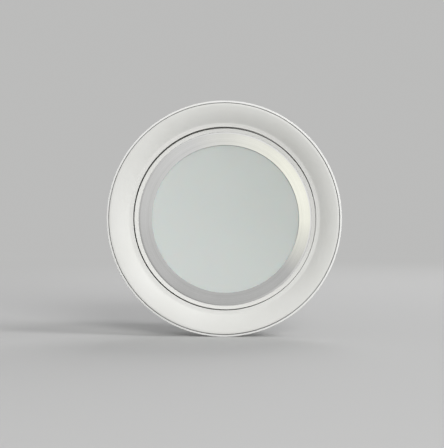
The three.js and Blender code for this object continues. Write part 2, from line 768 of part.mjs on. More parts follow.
function clipSpring() {
  const wire = new ClipSpringWire();
  console.log(`clip spring: least gap to itself ${leastGap(wire, springWire).toFixed(2)} mm`);
  const sides = onCircle(springWire / 2, 5).map(([x, y]) => new THREE.Vector2(x, y));
  const stepsPerTurn = 8;
  const stepLength = 2 * Math.PI * wire.coilRadius / stepsPerTurn;
  return new THREE.ExtrudeGeometry(new THREE.Shape(sides), {
    steps: Math.round(wire.length / stepLength),
    extrudePath: wire,
    bevelEnabled: false,
  });
}

// The fixed side
addPiece(trim, 'trim_ring', trimRing(), whiteLacquer);
const gasketInner = gasketRecessInner + seatGap;
const flangeGasket = flatRing(gasketInner, gasketInner + gasketWidth, -gasketThickness, gasketThickness);
addPiece(trim, 'flange_gasket', flangeGasket, blackRubber);
for (const [side, turn] of [['right', 0], ['left', Math.PI]]) {
  const mount = new THREE.Group();
  mount.rotation.y = turn;
  trim.add(mount);
  const washer = addPiece(
    mount,
    `friction_washer_${side}`,
    flatRing(pivotBoreRadius, washerRadius, 0, washerThickness, smallSteps),
    acetal,
  );
  washer.position.set(washerInnerFace, pivotDepth, 0);
  washer.rotation.z = -Math.PI / 2;
  const pin = addPiece(mount, `clip_pin_${side}`, clipPin(), zincSteel);
  pin.position.set(clipPinX, clipPinY, 0);
  const spring = addPiece(mount, `clip_spring_${side}`, clipSpring(), springSteel);
  spring.position.copy(pin.position);
  const arm = addPiece(mount, `clip_arm_${side}`, clipArm(), springSteel);
  arm.position.copy(pin.position);
  arm.rotation.z = lean - Math.PI / 2;
}

// The tilting head
addPiece(head, 'head_shell', headShell(), whiteLacquer);
addPiece(head, 'front_ring', frontRing(), turnedAluminium);
addPiece(head, 'diffuser_glass', diffuserGlass(), frostedGlass);
const glassGasket = flatRing(shelfRadius, glassRadius, glassGasketFront, glassGasketThickness);
addPiece(head, 'glass_gasket', glassGasket, clearSilicone);
addPiece(head, 'mixing_reflector', mixingReflector(), whiteMoulding);
addPiece(head, 'led_board', ledBoard(), whiteSolderMask);
addPiece(head, 'terminal_block', terminalBlock(), whiteMoulding);
addPiece(head, 'thermal_pad', thermalPad(), greyPad);
addPiece(head, 'heat_sink', heatSink(), castAluminium);
const sealRadius = chamberRadius + seatGap;
const sinkSeal = flatRing(sealRadius, sealRadius + sealWidth, sealFront, sealThickness);
addPiece(head, 'sink_seal', sinkSeal, blackRubber);
addPiece(head, 'gland_body', glandBody(), blackNylon);
addPiece(head, 'gland_seal', glandSeal(), blackRubber);
addPiece(head, 'gland_nut', glandNut(), blackNylon);
for (const [side, turn] of [['right', 0], ['left', Math.PI]]) {
  const mount = new THREE.Group();
  mount.rotation.y = turn;
  head.add(mount);
  const seat = skirtRadius + seatGap;
  const shank = seat - pivotFlat + pivotDepthInHead;
  const shape = screw(pivotRadius, pivotHeadRadius, pivotHeadHeight, shank, smallSteps);
  const pivot = addPiece(mount, `pivot_screw_${side}`, shape, zincSteel);
  pivot.position.set(seat, pivotDepth, 0);
  pivot.rotation.z = -Math.PI / 2;
}
boardScrewPlaces.forEach(([x, z], i) => {
  const shape = screw(boardScrewRadius, boardScrewHeadRadius, screwHeadHeight, boardScrewLength - seatGap);
  const piece = addPiece(head, `board_screw_${i + 1}`, shape, zincSteel);
  piece.position.set(x, boardFront - seatGap, z);
  piece.rotation.x = Math.PI;
});
onCircle(bossCircle, 4, 45).forEach(([x, z], i) => {
  const shank = sinkFlangeRear + seatGap - shellRear + sinkScrewLength - 2 * seatGap;
  const shape = screw(sinkScrewRadius, sinkScrewHeadRadius, screwHeadHeight, shank);
  const piece = addPiece(head, `sink_screw_${i + 1}`, shape, zincSteel);
  piece.position.set(x, sinkFlangeRear + seatGap, z);
});

export default spotlight;
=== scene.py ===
# Adjustable recessed LED spotlight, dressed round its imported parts. The frame is in metres, +Z up, and the
# light shines towards -Y. Shapes below are worked out in millimetres and scaled once, in addPiece.
import json

import bmesh
import bpy
import numpy as np
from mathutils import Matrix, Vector


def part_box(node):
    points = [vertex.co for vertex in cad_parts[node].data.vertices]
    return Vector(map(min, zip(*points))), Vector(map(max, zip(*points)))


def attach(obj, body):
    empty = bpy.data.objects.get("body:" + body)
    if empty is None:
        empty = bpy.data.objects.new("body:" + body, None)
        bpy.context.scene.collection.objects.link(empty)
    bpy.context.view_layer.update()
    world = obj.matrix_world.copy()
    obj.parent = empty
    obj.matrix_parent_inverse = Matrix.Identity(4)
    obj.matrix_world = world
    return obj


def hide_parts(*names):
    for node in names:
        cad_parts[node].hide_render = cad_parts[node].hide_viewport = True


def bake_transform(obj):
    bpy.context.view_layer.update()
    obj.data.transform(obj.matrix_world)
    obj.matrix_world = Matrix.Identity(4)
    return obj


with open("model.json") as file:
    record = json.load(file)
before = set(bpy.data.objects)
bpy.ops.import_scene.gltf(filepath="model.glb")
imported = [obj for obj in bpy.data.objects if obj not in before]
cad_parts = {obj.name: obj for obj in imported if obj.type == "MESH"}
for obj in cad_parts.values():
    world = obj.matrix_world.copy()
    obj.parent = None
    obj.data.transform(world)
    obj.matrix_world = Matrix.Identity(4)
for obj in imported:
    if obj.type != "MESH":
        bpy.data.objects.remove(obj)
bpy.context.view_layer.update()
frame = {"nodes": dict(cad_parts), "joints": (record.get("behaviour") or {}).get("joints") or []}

scene = bpy.context.scene
scene.view_settings.view_transform = "Standard"
print("frame loaded:", len(frame["nodes"]), "nodes")


def extent(node):  # a node's lowest and highest corner, in mm
    return np.array(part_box(node)) * 1000


jointPlaces = {joint["name"]: np.array(joint["pos_m"]) * 1000 for joint in frame["joints"]}
pivotDepth = jointPlaces["head_tilt"][1]
pinPlace = jointPlaces["clip_right_fold"]
seatGap = 0.3  # mm, clearance between pieces that touch


cameraView = {
    "azimuth": 5.0,  # degrees to the right of straight in front
    "elevation": 0.7,
    "distance": 800.0,  # mm
    "scale": 0.5098,  # mm in a pixel of the photograph, at the flange
    "longSide": 448,  # pixels
    "sensor": 36.0,
    "shiftRight": -1.0,  # mm, from the object's centre to the middle of the frame
    "shiftUp": -2.7,
    "clip": (0.01, 20.0),  # metres
}


# The camera looks at the object from (sin a cos e, -cos a cos e, sin e), with azimuth a and elevation e, and
# the shifts move it sideways and up in its own plane.
def addCamera(view):
    azimuth, elevation = np.radians([view["azimuth"], view["elevation"]])
    level = np.cos(elevation)
    back = Vector((np.sin(azimuth) * level, -np.cos(azimuth) * level, np.sin(elevation)))
    turn = (-back).to_track_quat("-Z", "Y")
    lens = bpy.data.cameras.new("camera")
    lens.sensor_width = view["sensor"]
    lens.lens = view["sensor"] * view["distance"] / (view["longSide"] * view["scale"])
    lens.clip_start, lens.clip_end = view["clip"]
    camera = bpy.data.objects.new("camera", lens)
    scene.collection.objects.link(camera)
    side = turn @ Vector((1, 0, 0)) * view["shiftRight"] + turn @ Vector((0, 1, 0)) * view["shiftUp"]
    camera.location = (side + back * view["distance"]) * 0.001
    camera.rotation_mode = "QUATERNION"
    camera.rotation_quaternion = turn
    scene.camera = camera


addCamera(cameraView)
print("camera placed")


# Rises from 0 at start to 1 at end, as three times the share squared less twice the share cubed.
def smoothStep(value, start, end):
    share = np.clip((value - start) / (end - start), 0, 1)
    return share * share * (3 - 2 * share)


# Faces of a grid of points: each quad joins four neighbours, and a closed side wraps round to its start.
def gridSurface(grid, closeRows, closeColumns):
    rows, columns = grid.shape[:2]
    row = np.arange(rows if closeRows else rows - 1)[:, None]
    column = np.arange(columns if closeColumns else columns - 1)[None, :]
    nextRow, nextColumn = (row + 1) % rows, (column + 1) % columns
    corners = [
        row * columns + column,
        row * columns + nextColumn,
        nextRow * columns + nextColumn,
        nextRow * columns + column,
    ]
    return grid.reshape(-1, 3), np.stack(corners, -1).reshape(-1, 4).tolist()


# An outline whose corners (x, y, radius) are arcs that touch both sides: an arc starts
# radius / tan(half the corner) before its corner, and its points turn evenly about the arc's centre.
# Each long side gets a point just inside its ends, a hold away, which keeps its shading flat. In the
# outlines below the third number of a corner is its radius in mm, and a corner without one is sharp. A
# corner counts as straight past a cosine of straight, so that nothing is divided by zero.
def rounded(corners, closed=True, steps=6, hold=0.06, straight=0.9999):
    full = np.array([(*corner, 0.0)[:3] for corner in corners])
    point, radius = full[:, :2], full[:, 2:]
    before, after = np.roll(point, 1, 0) - point, np.roll(point, -1, 0) - point
    before /= np.linalg.norm(before, axis=1, keepdims=True)
    after /= np.linalg.norm(after, axis=1, keepdims=True)
    half = np.arccos(np.clip((before * after).sum(1, keepdims=True), -straight, straight)) / 2
    reach = radius / np.tan(half)
    middle = (before + after) / np.linalg.norm(before + after, axis=1, keepdims=True)
    centre = point + middle * radius / np.sin(half)
    turn = np.maximum(np.pi - 2 * half, 1e-3)[:, None]
    share = np.linspace(0, 1, steps + 1)[None, :, None]
    start, end = (point + before * reach - centre)[:, None], (point + after * reach - centre)[:, None]
    arcs = centre[:, None] + (np.sin((1 - share) * turn) * start + np.sin(share * turn) * end) / np.sin(turn)
    line = arcs.reshape(-1, 2)
    step = np.roll(line, -1, 0) - line
    length = np.linalg.norm(step, axis=1, keepdims=True)
    inside = np.where(length > 4 * hold, hold * step / np.maximum(length, 1e-9), 0)
    line = np.stack([line, line + inside, line + step - inside], 1).reshape(-1, 2)
    if not closed:
        line = line[:-2]
    distinct = np.linalg.norm(np.roll(line, -1, 0) - line, axis=1) > 1e-5  # not on the next point
    return line[distinct] if closed else line[np.append(distinct[:-1], True)]


# A surface turned about Y: (radius x cos, depth, radius x sin) for each outline point and each angle.
# A point's share of lobes, from 0 to 1, bends its circle to a shape, which is a factor on the radius at
# each angle, and a limit cuts the radius off at each angle.
def lathe(outline, steps, closed=True, lobes=0.0, shape=None, limit=None):
    angle = np.linspace(0, 2 * np.pi, steps, endpoint=False)[:, None]
    radius = outline[:, 0] + 0 * angle
    if shape is not None:
        radius = radius * (1 + lobes * (shape(angle) - 1))
    if limit is not None:
        radius = np.minimum(radius, limit(angle))
    grid = np.stack([radius * np.cos(angle), outline[:, 1] + 0 * angle, radius * np.sin(angle)], -1)
    return gridSurface(grid, True, closed)


# Distance from the centre of a hexagon to its side, at each angle, where the side's middle is at 1.
def hexagon(angle):
    return 1 / np.cos((angle + np.pi / 6) % (np.pi / 3) - np.pi / 6)


# A plate with rounded rims: the outline drawn in by rim x (1 - cos), while the height climbs as rim x sin,
# at both faces. Half the thickness may differ from point to point of the outline.
def roundedPlate(outline, half, rim, steps=4, hold=0.08):
    ahead = np.roll(outline, -1, 0) - outline
    ahead = np.stack([ahead[:, 1], -ahead[:, 0]], 1) / np.linalg.norm(ahead, axis=1, keepdims=True)
    behind = np.roll(ahead, 1, 0)
    outward = (ahead + behind) / (1 + (ahead * behind).sum(1, keepdims=True))
    turn = np.linspace(0, np.pi / 2, steps + 1)
    drawnIn = np.concatenate([[rim + hold], rim * (1 - np.sin(turn)), rim * (1 - np.cos(turn)), [rim + hold]])
    lift = np.concatenate([[0], rim * (1 - np.cos(turn)), -rim * (1 - np.sin(turn)), [0]])
    side = np.repeat([-1.0, 1.0], steps + 2)
    place = outline[:, None] - outward[:, None] * drawnIn[:, None]
    height = side * np.broadcast_to(half, len(outline))[:, None] + lift
    points, faces = gridSurface(np.concatenate([place, height[..., None]], -1), True, False)
    first = np.arange(len(outline)) * len(side)
    return points, faces + [first.tolist(), (first + len(side) - 1)[::-1].tolist()]


# A round wire carried along a path: each section is square to the path with one side towards Z, and the
# sections at both ends shrink as a quarter circle does.
def roundWire(path, radius, sides, capSteps=4):
    along = np.gradient(path, axis=0)
    along /= np.linalg.norm(along, axis=1, keepdims=True)
    cap = np.linspace(0, np.pi / 2, capSteps + 1)[:-1]
    shrink = np.concatenate([np.sin(cap), np.ones(len(path)), np.sin(cap)[::-1]])[:, None, None]
    push = np.concatenate([-radius * np.cos(cap), np.zeros(len(path)), radius * np.cos(cap)[::-1]])[:, None]
    path = np.concatenate([path[:1].repeat(capSteps, 0), path, path[-1:].repeat(capSteps, 0)])
    along = np.concatenate([along[:1].repeat(capSteps, 0), along, along[-1:].repeat(capSteps, 0)])
    up = np.array([0, 0, 1.0]) - along * along[:, 2:]
    up /= np.linalg.norm(up, axis=1, keepdims=True)
    across = np.cross(up, along)
    angle = np.linspace(0, 2 * np.pi, sides, endpoint=False)[None, :, None]
    ring = across[:, None] * np.cos(angle) + up[:, None] * np.sin(angle)
    return gridSurface((path + along * push)[:, None] + ring * radius * shrink, False, True)


# A surface turned by a matrix of three rows, which say where its X, Y and Z go, and then moved.
def placed(surface, x=(1, 0, 0), y=(0, 1, 0), z=(0, 0, 1), at=(0, 0, 0)):
    return surface[0] @ np.array([x, y, z], float) + np.array(at, float), surface[1]


def aboutX(surface, depth):  # a turned shape laid along X, at a depth
    return placed(surface, (0, 1, 0), (1, 0, 0), (0, 0, 1), (0, depth, 0))


def halfTurned(surface):  # the same on the left side of the object
    return placed(surface, (-1, 0, 0), (0, 1, 0), (0, 0, -1))


# Several surfaces as one: their points in a row, and each one's faces counted on from its first point.
def joined(*surfaces):
    starts = np.cumsum([0] + [len(points) for points, _ in surfaces])
    faces = []
    for (_, some), start in zip(surfaces, starts):
        faces += [[corner + int(start) for corner in face] for face in some]
    return np.concatenate([points for points, _ in surfaces]), faces


# A mesh from points in metres, with its doubled points merged and its faces turned outwards.
def cleanMesh(name, points, faces, merge):
    mesh = bpy.data.meshes.new(name)
    mesh.from_pydata(points.tolist(), [], faces)
    work = bmesh.new()
    work.from_mesh(mesh)
    bmesh.ops.remove_doubles(work, verts=work.verts, dist=merge)
    bmesh.ops.recalc_face_normals(work, faces=work.faces)
    work.to_mesh(mesh)
    work.free()
    return mesh


# Makes a piece of a surface and lets it ride on a body, in place of the nodes that it stands for.
def addPiece(name, surface, finish, body, nodes, sharp=38, merge=2e-7):
    points, faces = surface
    mesh = cleanMesh(name, points * 0.001, faces, merge)
    mesh.shade_smooth()
    mesh.set_sharp_from_angle(angle=np.radians(sharp))
    mesh.materials.append(finish)
    piece = bpy.data.objects.new(name, mesh)
    scene.collection.objects.link(piece)
    if body is not None:
        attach(piece, body)
    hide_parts(*nodes)
    return piece


def feed(tree, socket, value):  # links an input to another node's output, or sets it
    if isinstance(value, bpy.types.NodeSocket):
        tree.links.new(value, socket)
    else:
        socket.default_value = value


def addNode(tree, kind, inputs=(), **settings):
    node = tree.nodes.new("ShaderNode" + kind)
    for setting, value in settings.items():
        setattr(node, setting, value)
    for socket, value in dict(inputs).items():
        feed(tree, node.inputs[socket], value)
    return node


# Lays a value's range from start to end out from low to high. Most of a noise lies in the default range.
def spread(tree, value, low, high, start=0.35, end=0.65, **settings):
    inputs = {"Value": value, "From Min": start, "From Max": end, "To Min": low, "To Max": high}
    return addNode(tree, "MapRange", inputs, **settings).outputs["Result"]


def compute(tree, operation, *values):
    return addNode(tree, "Math", enumerate(values), operation=operation).outputs["Value"]


def mixed(tree, factor, *colours):
    inputs = {"Factor": factor}
    for socket, colour in zip("AB", colours):
        inputs[socket] = colour if isinstance(colour, bpy.types.NodeSocket) else (*colour, 1)
    return addNode(tree, "Mix", inputs, data_type="RGBA").outputs["Result"]


def mixedShader(tree, factor, first, second):
    return addNode(tree, "MixShader", {"Fac": factor, 1: first, 2: second}).outputs["Shader"]


def isRay(tree, kind):
    return addNode(tree, "LightPath").outputs["Is " + kind + " Ray"]


# What a finish has where its own look says nothing else.
plainLook = {
    "cloudDetail": 4.0,
    "cloudRange": (0.3, 0.7),  # from where the first tint is whole to where the second one is
    "grainDetail": 2.0,
    "ringDetail": 3.0,
    "ringShare": 0.5,  # of the tint, where there are rings
    "bump": 0.5,
    "brushed": False,
    "zones": [],
    "shader": {},
}


# One finish: two tints mixed by broad clouds, roughness between two values by a finer grain, and a bump from
# that grain or from rings round the Y axis. What doesn't change over the surface is set on the shader itself.
def makeFinish(name, ownLook):
    look = {**plainLook, **ownLook}
    material = bpy.data.materials.new(name)
    material.use_nodes = True
    tree = material.node_tree
    shader = tree.nodes["Principled BSDF"]
    for socket, value in look["shader"].items():
        shader.inputs[socket].default_value = value
    place = addNode(tree, "TexCoord").outputs["Object"]

    def noise(scale, detail):
        return addNode(tree, "TexNoise", {"Vector": place, "Scale": scale, "Detail": detail}).outputs["Fac"]

    def axisDistance():  # distance from the Y axis, in metres
        flat = addNode(tree, "VectorMath", {0: place, 1: (1, 0, 1)}, operation="MULTIPLY")
        return addNode(tree, "VectorMath", {0: flat.outputs["Vector"]}, operation="LENGTH").outputs["Value"]

    grain = noise(look["grain"], look["grainDetail"])
    relief = grain
    tint = spread(tree, noise(look["clouds"], look["cloudDetail"]), 0.0, 1.0, *look["cloudRange"])
    if "rings" in look:  # turning marks: noise that changes with the distance from the axis only
        inputs = {"W": axisDistance(), "Scale": look["rings"], "Detail": look["ringDetail"]}
        grain = addNode(tree, "TexNoise", inputs, noise_dimensions="1D").outputs["Fac"]
        relief = compute(tree, "ADD", compute(tree, "MULTIPLY", relief, look["grainShare"]), grain)
        cloudTint = compute(tree, "MULTIPLY", tint, 1 - look["ringShare"])
        tint = compute(tree, "ADD", cloudTint, spread(tree, grain, 0.0, look["ringShare"]))
    colour = mixed(tree, tint, *look["tints"])
    for zone in look["zones"]:  # painted shade or painted highlight: another tint between two depths and two distances from the axis
        depth = addNode(tree, "SeparateXYZ", {"Vector": place}).outputs["Y"]
        inside = 1.0
        for value, (low, high) in ((depth, zone["depths"]), (axisDistance(), zone["radii"])):
            low, high, fade = low * 0.001, high * 0.001, zone["fade"] * 0.001
            inside = compute(tree, "MULTIPLY", inside, spread(tree, value, 0, 1, low, low + fade))
            inside = compute(tree, "MULTIPLY", inside, spread(tree, value, 1, 0, high - fade, high))
        colour = mixed(tree, inside, colour, zone["tint"])
    if "paler" in look:  # painted light: a lighter tint that grows along a direction, from one distance to another, as if that side were more lit
        paler = look["paler"]
        along = addNode(tree, "VectorMath", {0: place, 1: paler["towards"]}, operation="DOT_PRODUCT")
        near, far = paler["reach"]
        share = spread(tree, along.outputs["Value"], 0, 1, near * 0.001, far * 0.001)
        colour = mixed(tree, share, colour, paler["tint"])
    inputs = {"Height": relief, "Strength": look["bump"], "Distance": look["relief"] * 0.001}
    bump = addNode(tree, "Bump", inputs)
    feed(tree, shader.inputs["Base Color"], colour)
    feed(tree, shader.inputs["Roughness"], spread(tree, grain, *look["roughness"]))
    feed(tree, shader.inputs["Normal"], bump.outputs["Normal"])
    if look["brushed"]:
        tangent = addNode(tree, "Tangent", direction_type="RADIAL", axis="Y")
        feed(tree, shader.inputs["Tangent"], tangent.outputs["Tangent"])
    return material


# Tints are linear colours, relief and a zone's depths, radii and fade are in mm, and clouds, grain and rings
# are features to a metre.
finishLooks = {
    "whiteLacquer": {
        "tints": [(0.80, 0.80, 0.775), (0.83, 0.83, 0.81)],
        "roughness": (0.40, 0.52),
        "clouds": 45,
        "grain": 1500,
        "relief": 0.02,
        "bump": 0.35,
        "shader": {"Specular IOR Level": 0.45, "Coat Weight": 0.12, "Coat Roughness": 0.25},
        "zones": [  # painted shade on the inside of the skirt and on the groove's floor, and a painted highlight on the bead's edge
            # painted shade: the inside of the skirt darkened to near black, so the seam reads dark
            {"depths": (2.0, 13.8), "radii": (0.0, 48.6), "fade": 0.3, "tint": (0.03, 0.03, 0.03)},
            # painted shade: the groove's floor darkened
            {"depths": (-2.3, -1.0), "radii": (58.6, 59.15), "fade": 0.1, "tint": (0.42, 0.42, 0.42)},
            # painted highlight: the bead's edge made lighter than the lacquer
            {"depths": (-3.4, -2.6), "radii": (59.0, 60.4), "fade": 0.1, "tint": (0.93, 0.93, 0.92)},
        ],
    },
    "turnedAluminium": {
        "tints": [(0.80, 0.80, 0.785), (0.91, 0.91, 0.90)],
        "roughness": (0.08, 0.13),
        "clouds": 60,
        "grain": 900,
        "grainShare": 0.2,
        "rings": 1400,
        "relief": 0.006,
        "brushed": True,
        "shader": {"Metallic": 1.0, "Anisotropic": 0.85, "Anisotropic Rotation": 0.25},
    },
    "frostedGlass": {
        "tints": [(0.605, 0.640, 0.618), (0.630, 0.665, 0.645)],
        "roughness": (0.42, 0.5),
        "clouds": 25,
        "grain": 2600,
        "relief": 0.01,
        "bump": 0.3,
        "shader": {"Specular IOR Level": 0.5, "Subsurface Weight": 0.15, "Subsurface Scale": 0.002},
        # painted light: the glass made lighter towards the lower left
        "paler": {"towards": (-0.8, 0.0, -0.6), "reach": (-24, 40), "tint": (0.71, 0.75, 0.735)},
    },
    "castAluminium": {
        "tints": [(0.42, 0.43, 0.435), (0.55, 0.56, 0.56)],
        "roughness": (0.42, 0.58),
        "clouds": 70,
        "grain": 1800,
        "grainDetail": 4.0,
        "relief": 0.05,
        "bump": 0.7,
        "shader": {"Metallic": 1.0},
    },
    "springSteel": {
        "tints": [(0.40, 0.41, 0.42), (0.50, 0.51, 0.52)],
        "roughness": (0.24, 0.36),
        "clouds": 120,
        "grain": 1200,
        "relief": 0.01,
        "shader": {"Metallic": 1.0},
    },
    "zincSteel": {
        "tints": [(0.60, 0.62, 0.63), (0.70, 0.70, 0.66)],
        "roughness": (0.26, 0.38),
        "clouds": 200,
        "grain": 2200,
        "relief": 0.01,
        "shader": {"Metallic": 1.0},
    },
    "blackRubber": {
        "tints": [(0.016, 0.016, 0.017), (0.028, 0.028, 0.029)],
        "roughness": (0.7, 0.85),
        "clouds": 90,
        "grain": 2600,
        "relief": 0.08,
        "bump": 0.8,
    },
    "blackNylon": {
        "tints": [(0.014, 0.014, 0.015), (0.022, 0.022, 0.023)],
        "roughness": (0.42, 0.55),
        "clouds": 80,
        "grain": 2000,
        "relief": 0.03,
    },
    "silicone": {
        "tints": [(0.62, 0.62, 0.60), (0.68, 0.68, 0.66)],
        "roughness": (0.5, 0.62),
        "clouds": 60,
        "grain": 1500,
        "relief": 0.02,
        "shader": {"Subsurface Weight": 0.2, "Subsurface Scale": 0.002},
    },
    "whiteMoulding": {
        "tints": [(0.80, 0.80, 0.78), (0.84, 0.84, 0.82)],
        "roughness": (0.45, 0.55),
        "clouds": 50,
        "grain": 1500,
        "relief": 0.02,
    },
    "solderMask": {
        "tints": [(0.74, 0.75, 0.73), (0.79, 0.80, 0.78)],
        "roughness": (0.35, 0.45),
        "clouds": 150,
        "grain": 1800,
        "relief": 0.01,
    },
    "greyPad": {
        "tints": [(0.24, 0.27, 0.29), (0.30, 0.33, 0.35)],
        "roughness": (0.75, 0.85),
        "clouds": 120,
        "grain": 1800,
        "relief": 0.05,
    },
}
headTints = [(0.815, 0.815, 0.79), (0.845, 0.845, 0.825)]
finishLooks["headLacquer"] = {**finishLooks["whiteLacquer"], "tints": headTints, "zones": []}
finishes = {name: makeFinish(name, look) for name, look in finishLooks.items()}
print("finishes made:", len(finishes))


trimSizes = {
    "radius": extent("trim_ring")[1][0],
    "rise": -extent("trim_ring")[0][1],
    "beadWidth": 0.93,
    "beadRise": 2.9,
    "grooveWidth": 0.37,
    "grooveRise": 1.5,
    "crestRound": 0.38,
    "crestLand": 0.4,
    "crestFall": 0.02,  # how much lower the crest ends beside the groove
    "dishWidth": 8.7,
    "outerSlope": 10.0,  # degrees
    "innerSlope": 38.0,
    "lipRadius": 46.88,
    "lipRound": 0.38,
    "lipLand": 0.7,
    "lipLength": 2.6,
    "ledgeSlope": 9.0,  # degrees
    "padFace": extent("friction_washer_right")[1][0] + seatGap,
    "padRise": 0.5,
    "padRadius": 4.4,
    "padRoot": 0.6,  # how far short of the skirt's outside the pad ends
    "skirtWall": 2.2,
    "skirtMargin": 0.5,
    "trapReach": 1.5,  # how far the edge that closes the view through the seam leans back
    "trapEdge": 0.7,
    "trapRoot": 0.6,
    "trapInset": 0.03,
    "rootWidth": 2.0,
    "rootLength": 2.8,
    "gasketRadius": extent("flange_gasket")[1][0],
    "gasketWidth": 2.6,
    "gasketThickness": -extent("flange_gasket")[0][1],
    "prongWidth": 4.0,
    "prongThickness": 2.2,
    "prongInner": 5.9,  # from the middle of a clip to its prongs
    "prongFoot": 3.0,
    "prongRound": 0.98,  # of its tip, as a share of half its width
    "prongEdge": 0.35,
    "stopWall": 1.3,
    "stopEdge": 0.2,
    "stopGap": 3.1,  # from the pin to the rear of the wall that stops the spring
}


# The dished face: its slope grows evenly from the crest to the lip, so its depth is the slope's integral.
def dishLine(sizes, crest, count=40):
    share = np.linspace(1.0, 0.0, count)
    outer, inner = np.tan(np.radians([sizes["outerSlope"], sizes["innerSlope"]]))
    depth = -sizes["rise"] + sizes["dishWidth"] * (outer * share + (inner - outer) * share**2 / 2)
    return np.stack([crest - sizes["dishWidth"] * share, depth], 1).tolist()


# Flange, lip, skirt and light trap are one outline turned about Y. Each pivot's pad is turned about X, the
# prongs and the stop wall are plates, and the right side's fittings are half turned for the left side.
def trimRing(sizes):
    radius, thick = sizes["radius"], sizes["gasketThickness"] + seatGap
    groove = radius - sizes["beadWidth"]
    wall = groove - sizes["grooveWidth"]
    dish = dishLine(sizes, wall - sizes["crestRound"] - sizes["crestLand"])
    lipOuter = dish[0][0] - sizes["lipRound"]
    lip = sizes["lipRadius"]
    lipOuterDepth = dish[0][1] + sizes["lipRound"] / 2
    lipDepth = lipOuterDepth + (lipOuter - lip - sizes["lipLand"]) * np.tan(np.radians(sizes["ledgeSlope"]))
    skirtInner = sizes["padFace"] + sizes["padRise"]
    skirt = skirtInner + sizes["skirtWall"]
    length = pivotDepth + sizes["padRadius"] + sizes["skirtMargin"]
    skirtFront = lipDepth + sizes["lipLength"] + skirtInner - lip
    trap = lip - sizes["trapInset"]
    recess = sizes["gasketRadius"] + seatGap
    recessInner = recess - sizes["gasketWidth"] - 2 * seatGap
    outline = rounded([
        (lip, lipDepth, 0.2),
        (lip + sizes["lipLand"], lipDepth, 0.3),
        (lipOuter, lipOuterDepth, 0.5),
        *dish[1:-1],
        (wall, -sizes["rise"] + sizes["crestFall"], sizes["crestRound"]),
        (wall, -sizes["grooveRise"], 0.08),
        (groove, -sizes["grooveRise"], 0.08),
        (groove, -sizes["beadRise"], 0.12),
        (radius, -sizes["beadRise"], 0.2),
        (radius, 0, 0.3),
        (recess, 0, 0.15),
        (recess, -thick, 0.1),
        (recessInner, -thick, 0.1),
        (recessInner, 0, 0.15),
        (skirt + sizes["rootWidth"], 0, 0.5),
        (skirt, sizes["rootLength"], 0.8),
        (skirt, length, 0.45),
        (skirtInner + sizes["trapRoot"], length, 0.2),
        (trap, length + sizes["trapReach"], 0.2),
        (trap, length + sizes["trapReach"] - sizes["trapEdge"], 0.2),
        (skirtInner, length - sizes["trapRoot"], 0.3),
        (skirtInner, skirtFront, 0.3),
        (lip, lipDepth + sizes["lipLength"], 0.3),
    ])
    pad = rounded([
        (0, sizes["padFace"]),
        (sizes["padRadius"], sizes["padFace"], 0.3),
        (sizes["padRadius"], skirt - sizes["padRoot"]),
        (0, skirt - sizes["padRoot"]),
    ], closed=False)
    half, foot = sizes["prongWidth"] / 2, length - sizes["prongFoot"]
    tip = half * sizes["prongRound"]
    prong = rounded([
        (pinPlace[0] - half, foot, 0.6),
        (skirt - sizes["skirtWall"] / 2, foot, 0.6),
        (pinPlace[0] + half, length + sizes["prongFoot"], 1.5),
        (pinPlace[0] + half, pinPlace[1] + half, tip),
        (pinPlace[0] - half, pinPlace[1] + half, tip),
    ], steps=12)
    middle = sizes["prongInner"] + sizes["prongThickness"] / 2
    stopRear = pinPlace[1] - sizes["stopGap"]
    stop = rounded([
        (skirtInner, foot, 0.4),
        (skirtInner + sizes["stopWall"], foot, 0.4),
        (skirtInner + sizes["stopWall"], stopRear, 0.4),
        (skirtInner, stopRear, 0.4),
    ])
    prongPlate = roundedPlate(prong, sizes["prongThickness"] / 2, sizes["prongEdge"])
    fittings = joined(
        aboutX(lathe(pad, steps=64, closed=False), pivotDepth),
        placed(prongPlate, at=(0, 0, middle)),
        placed(prongPlate, at=(0, 0, -middle)),
        roundedPlate(stop, middle, sizes["stopEdge"]),
    )
    return joined(lathe(outline, steps=288), fittings, halfTurned(fittings))


addPiece("trimRing", trimRing(trimSizes), finishes["whiteLacquer"], "trim", ["trim_ring"])


# A ring of rectangular section with softened edges, in the place of a node that is as wide.
def squareRing(node, width, edge, steps=192):
    (_, front, _), (outer, rear, _) = extent(node)
    corners = [(outer - width, front), (outer, front), (outer, rear), (outer - width, rear)]
    return lathe(rounded([(*corner, edge) for corner in corners], steps=4), steps)


gasketSizes = {"width": trimSizes["gasketWidth"], "edge": 0.25}
flangeGasket = squareRing("flange_gasket", **gasketSizes)
addPiece("flangeGasket", flangeGasket, finishes["blackRubber"], "trim", ["flange_gasket"])
print("trim ring made")


headSizes = {
    "rimDepth": extent("head_shell")[0][1],
    "rear": extent("head_shell")[1][1],
    "flat": extent("head_shell")[1][0],
    "ball": extent("head_shell")[1][2],
    "ballSwell": 0.145,  # more radius than the solid's, to narrow the view past it
    "ballSteps": 56,
    "ballEdge": 0.4,  # short of the rear, where the rear edge's rounding takes over
    "seamWidth": 0.49,
    "offset": (0.16, -0.18),  # where the head sits in its play, to the right and down
    "outOfRound": 0.14,  # how much wider than round the rim is, and how much lower
    "widestAt": -11.0,  # degrees from +X towards +Z
    "rimWidth": 1.96,
    "rimLand": 0.5,
    "rimLedge": 0.4,  # of the rim's width that isn't sloped
    "rimRise": 0.04,  # how far its outer corner stands forward before it is rounded
    "rimSlope": 14.0,  # degrees
    "rimRound": 0.2,
    "ovalDepth": 0.5,  # how far inside the rim's radius its points still follow its oval
    "ovalMargin": 0.01,  # and how far behind its land
    "flatStart": 0.5,  # from the rim's land to where the flats at the pivots begin
    "glassRadius": extent("diffuser_glass")[1][0],
    "glassFront": extent("diffuser_glass")[0][1],
    "pocketWall": 1.0,
    "chamber": 8.1,
    "shelf": 2.0,
    "shelfRadius": 38.4,
}


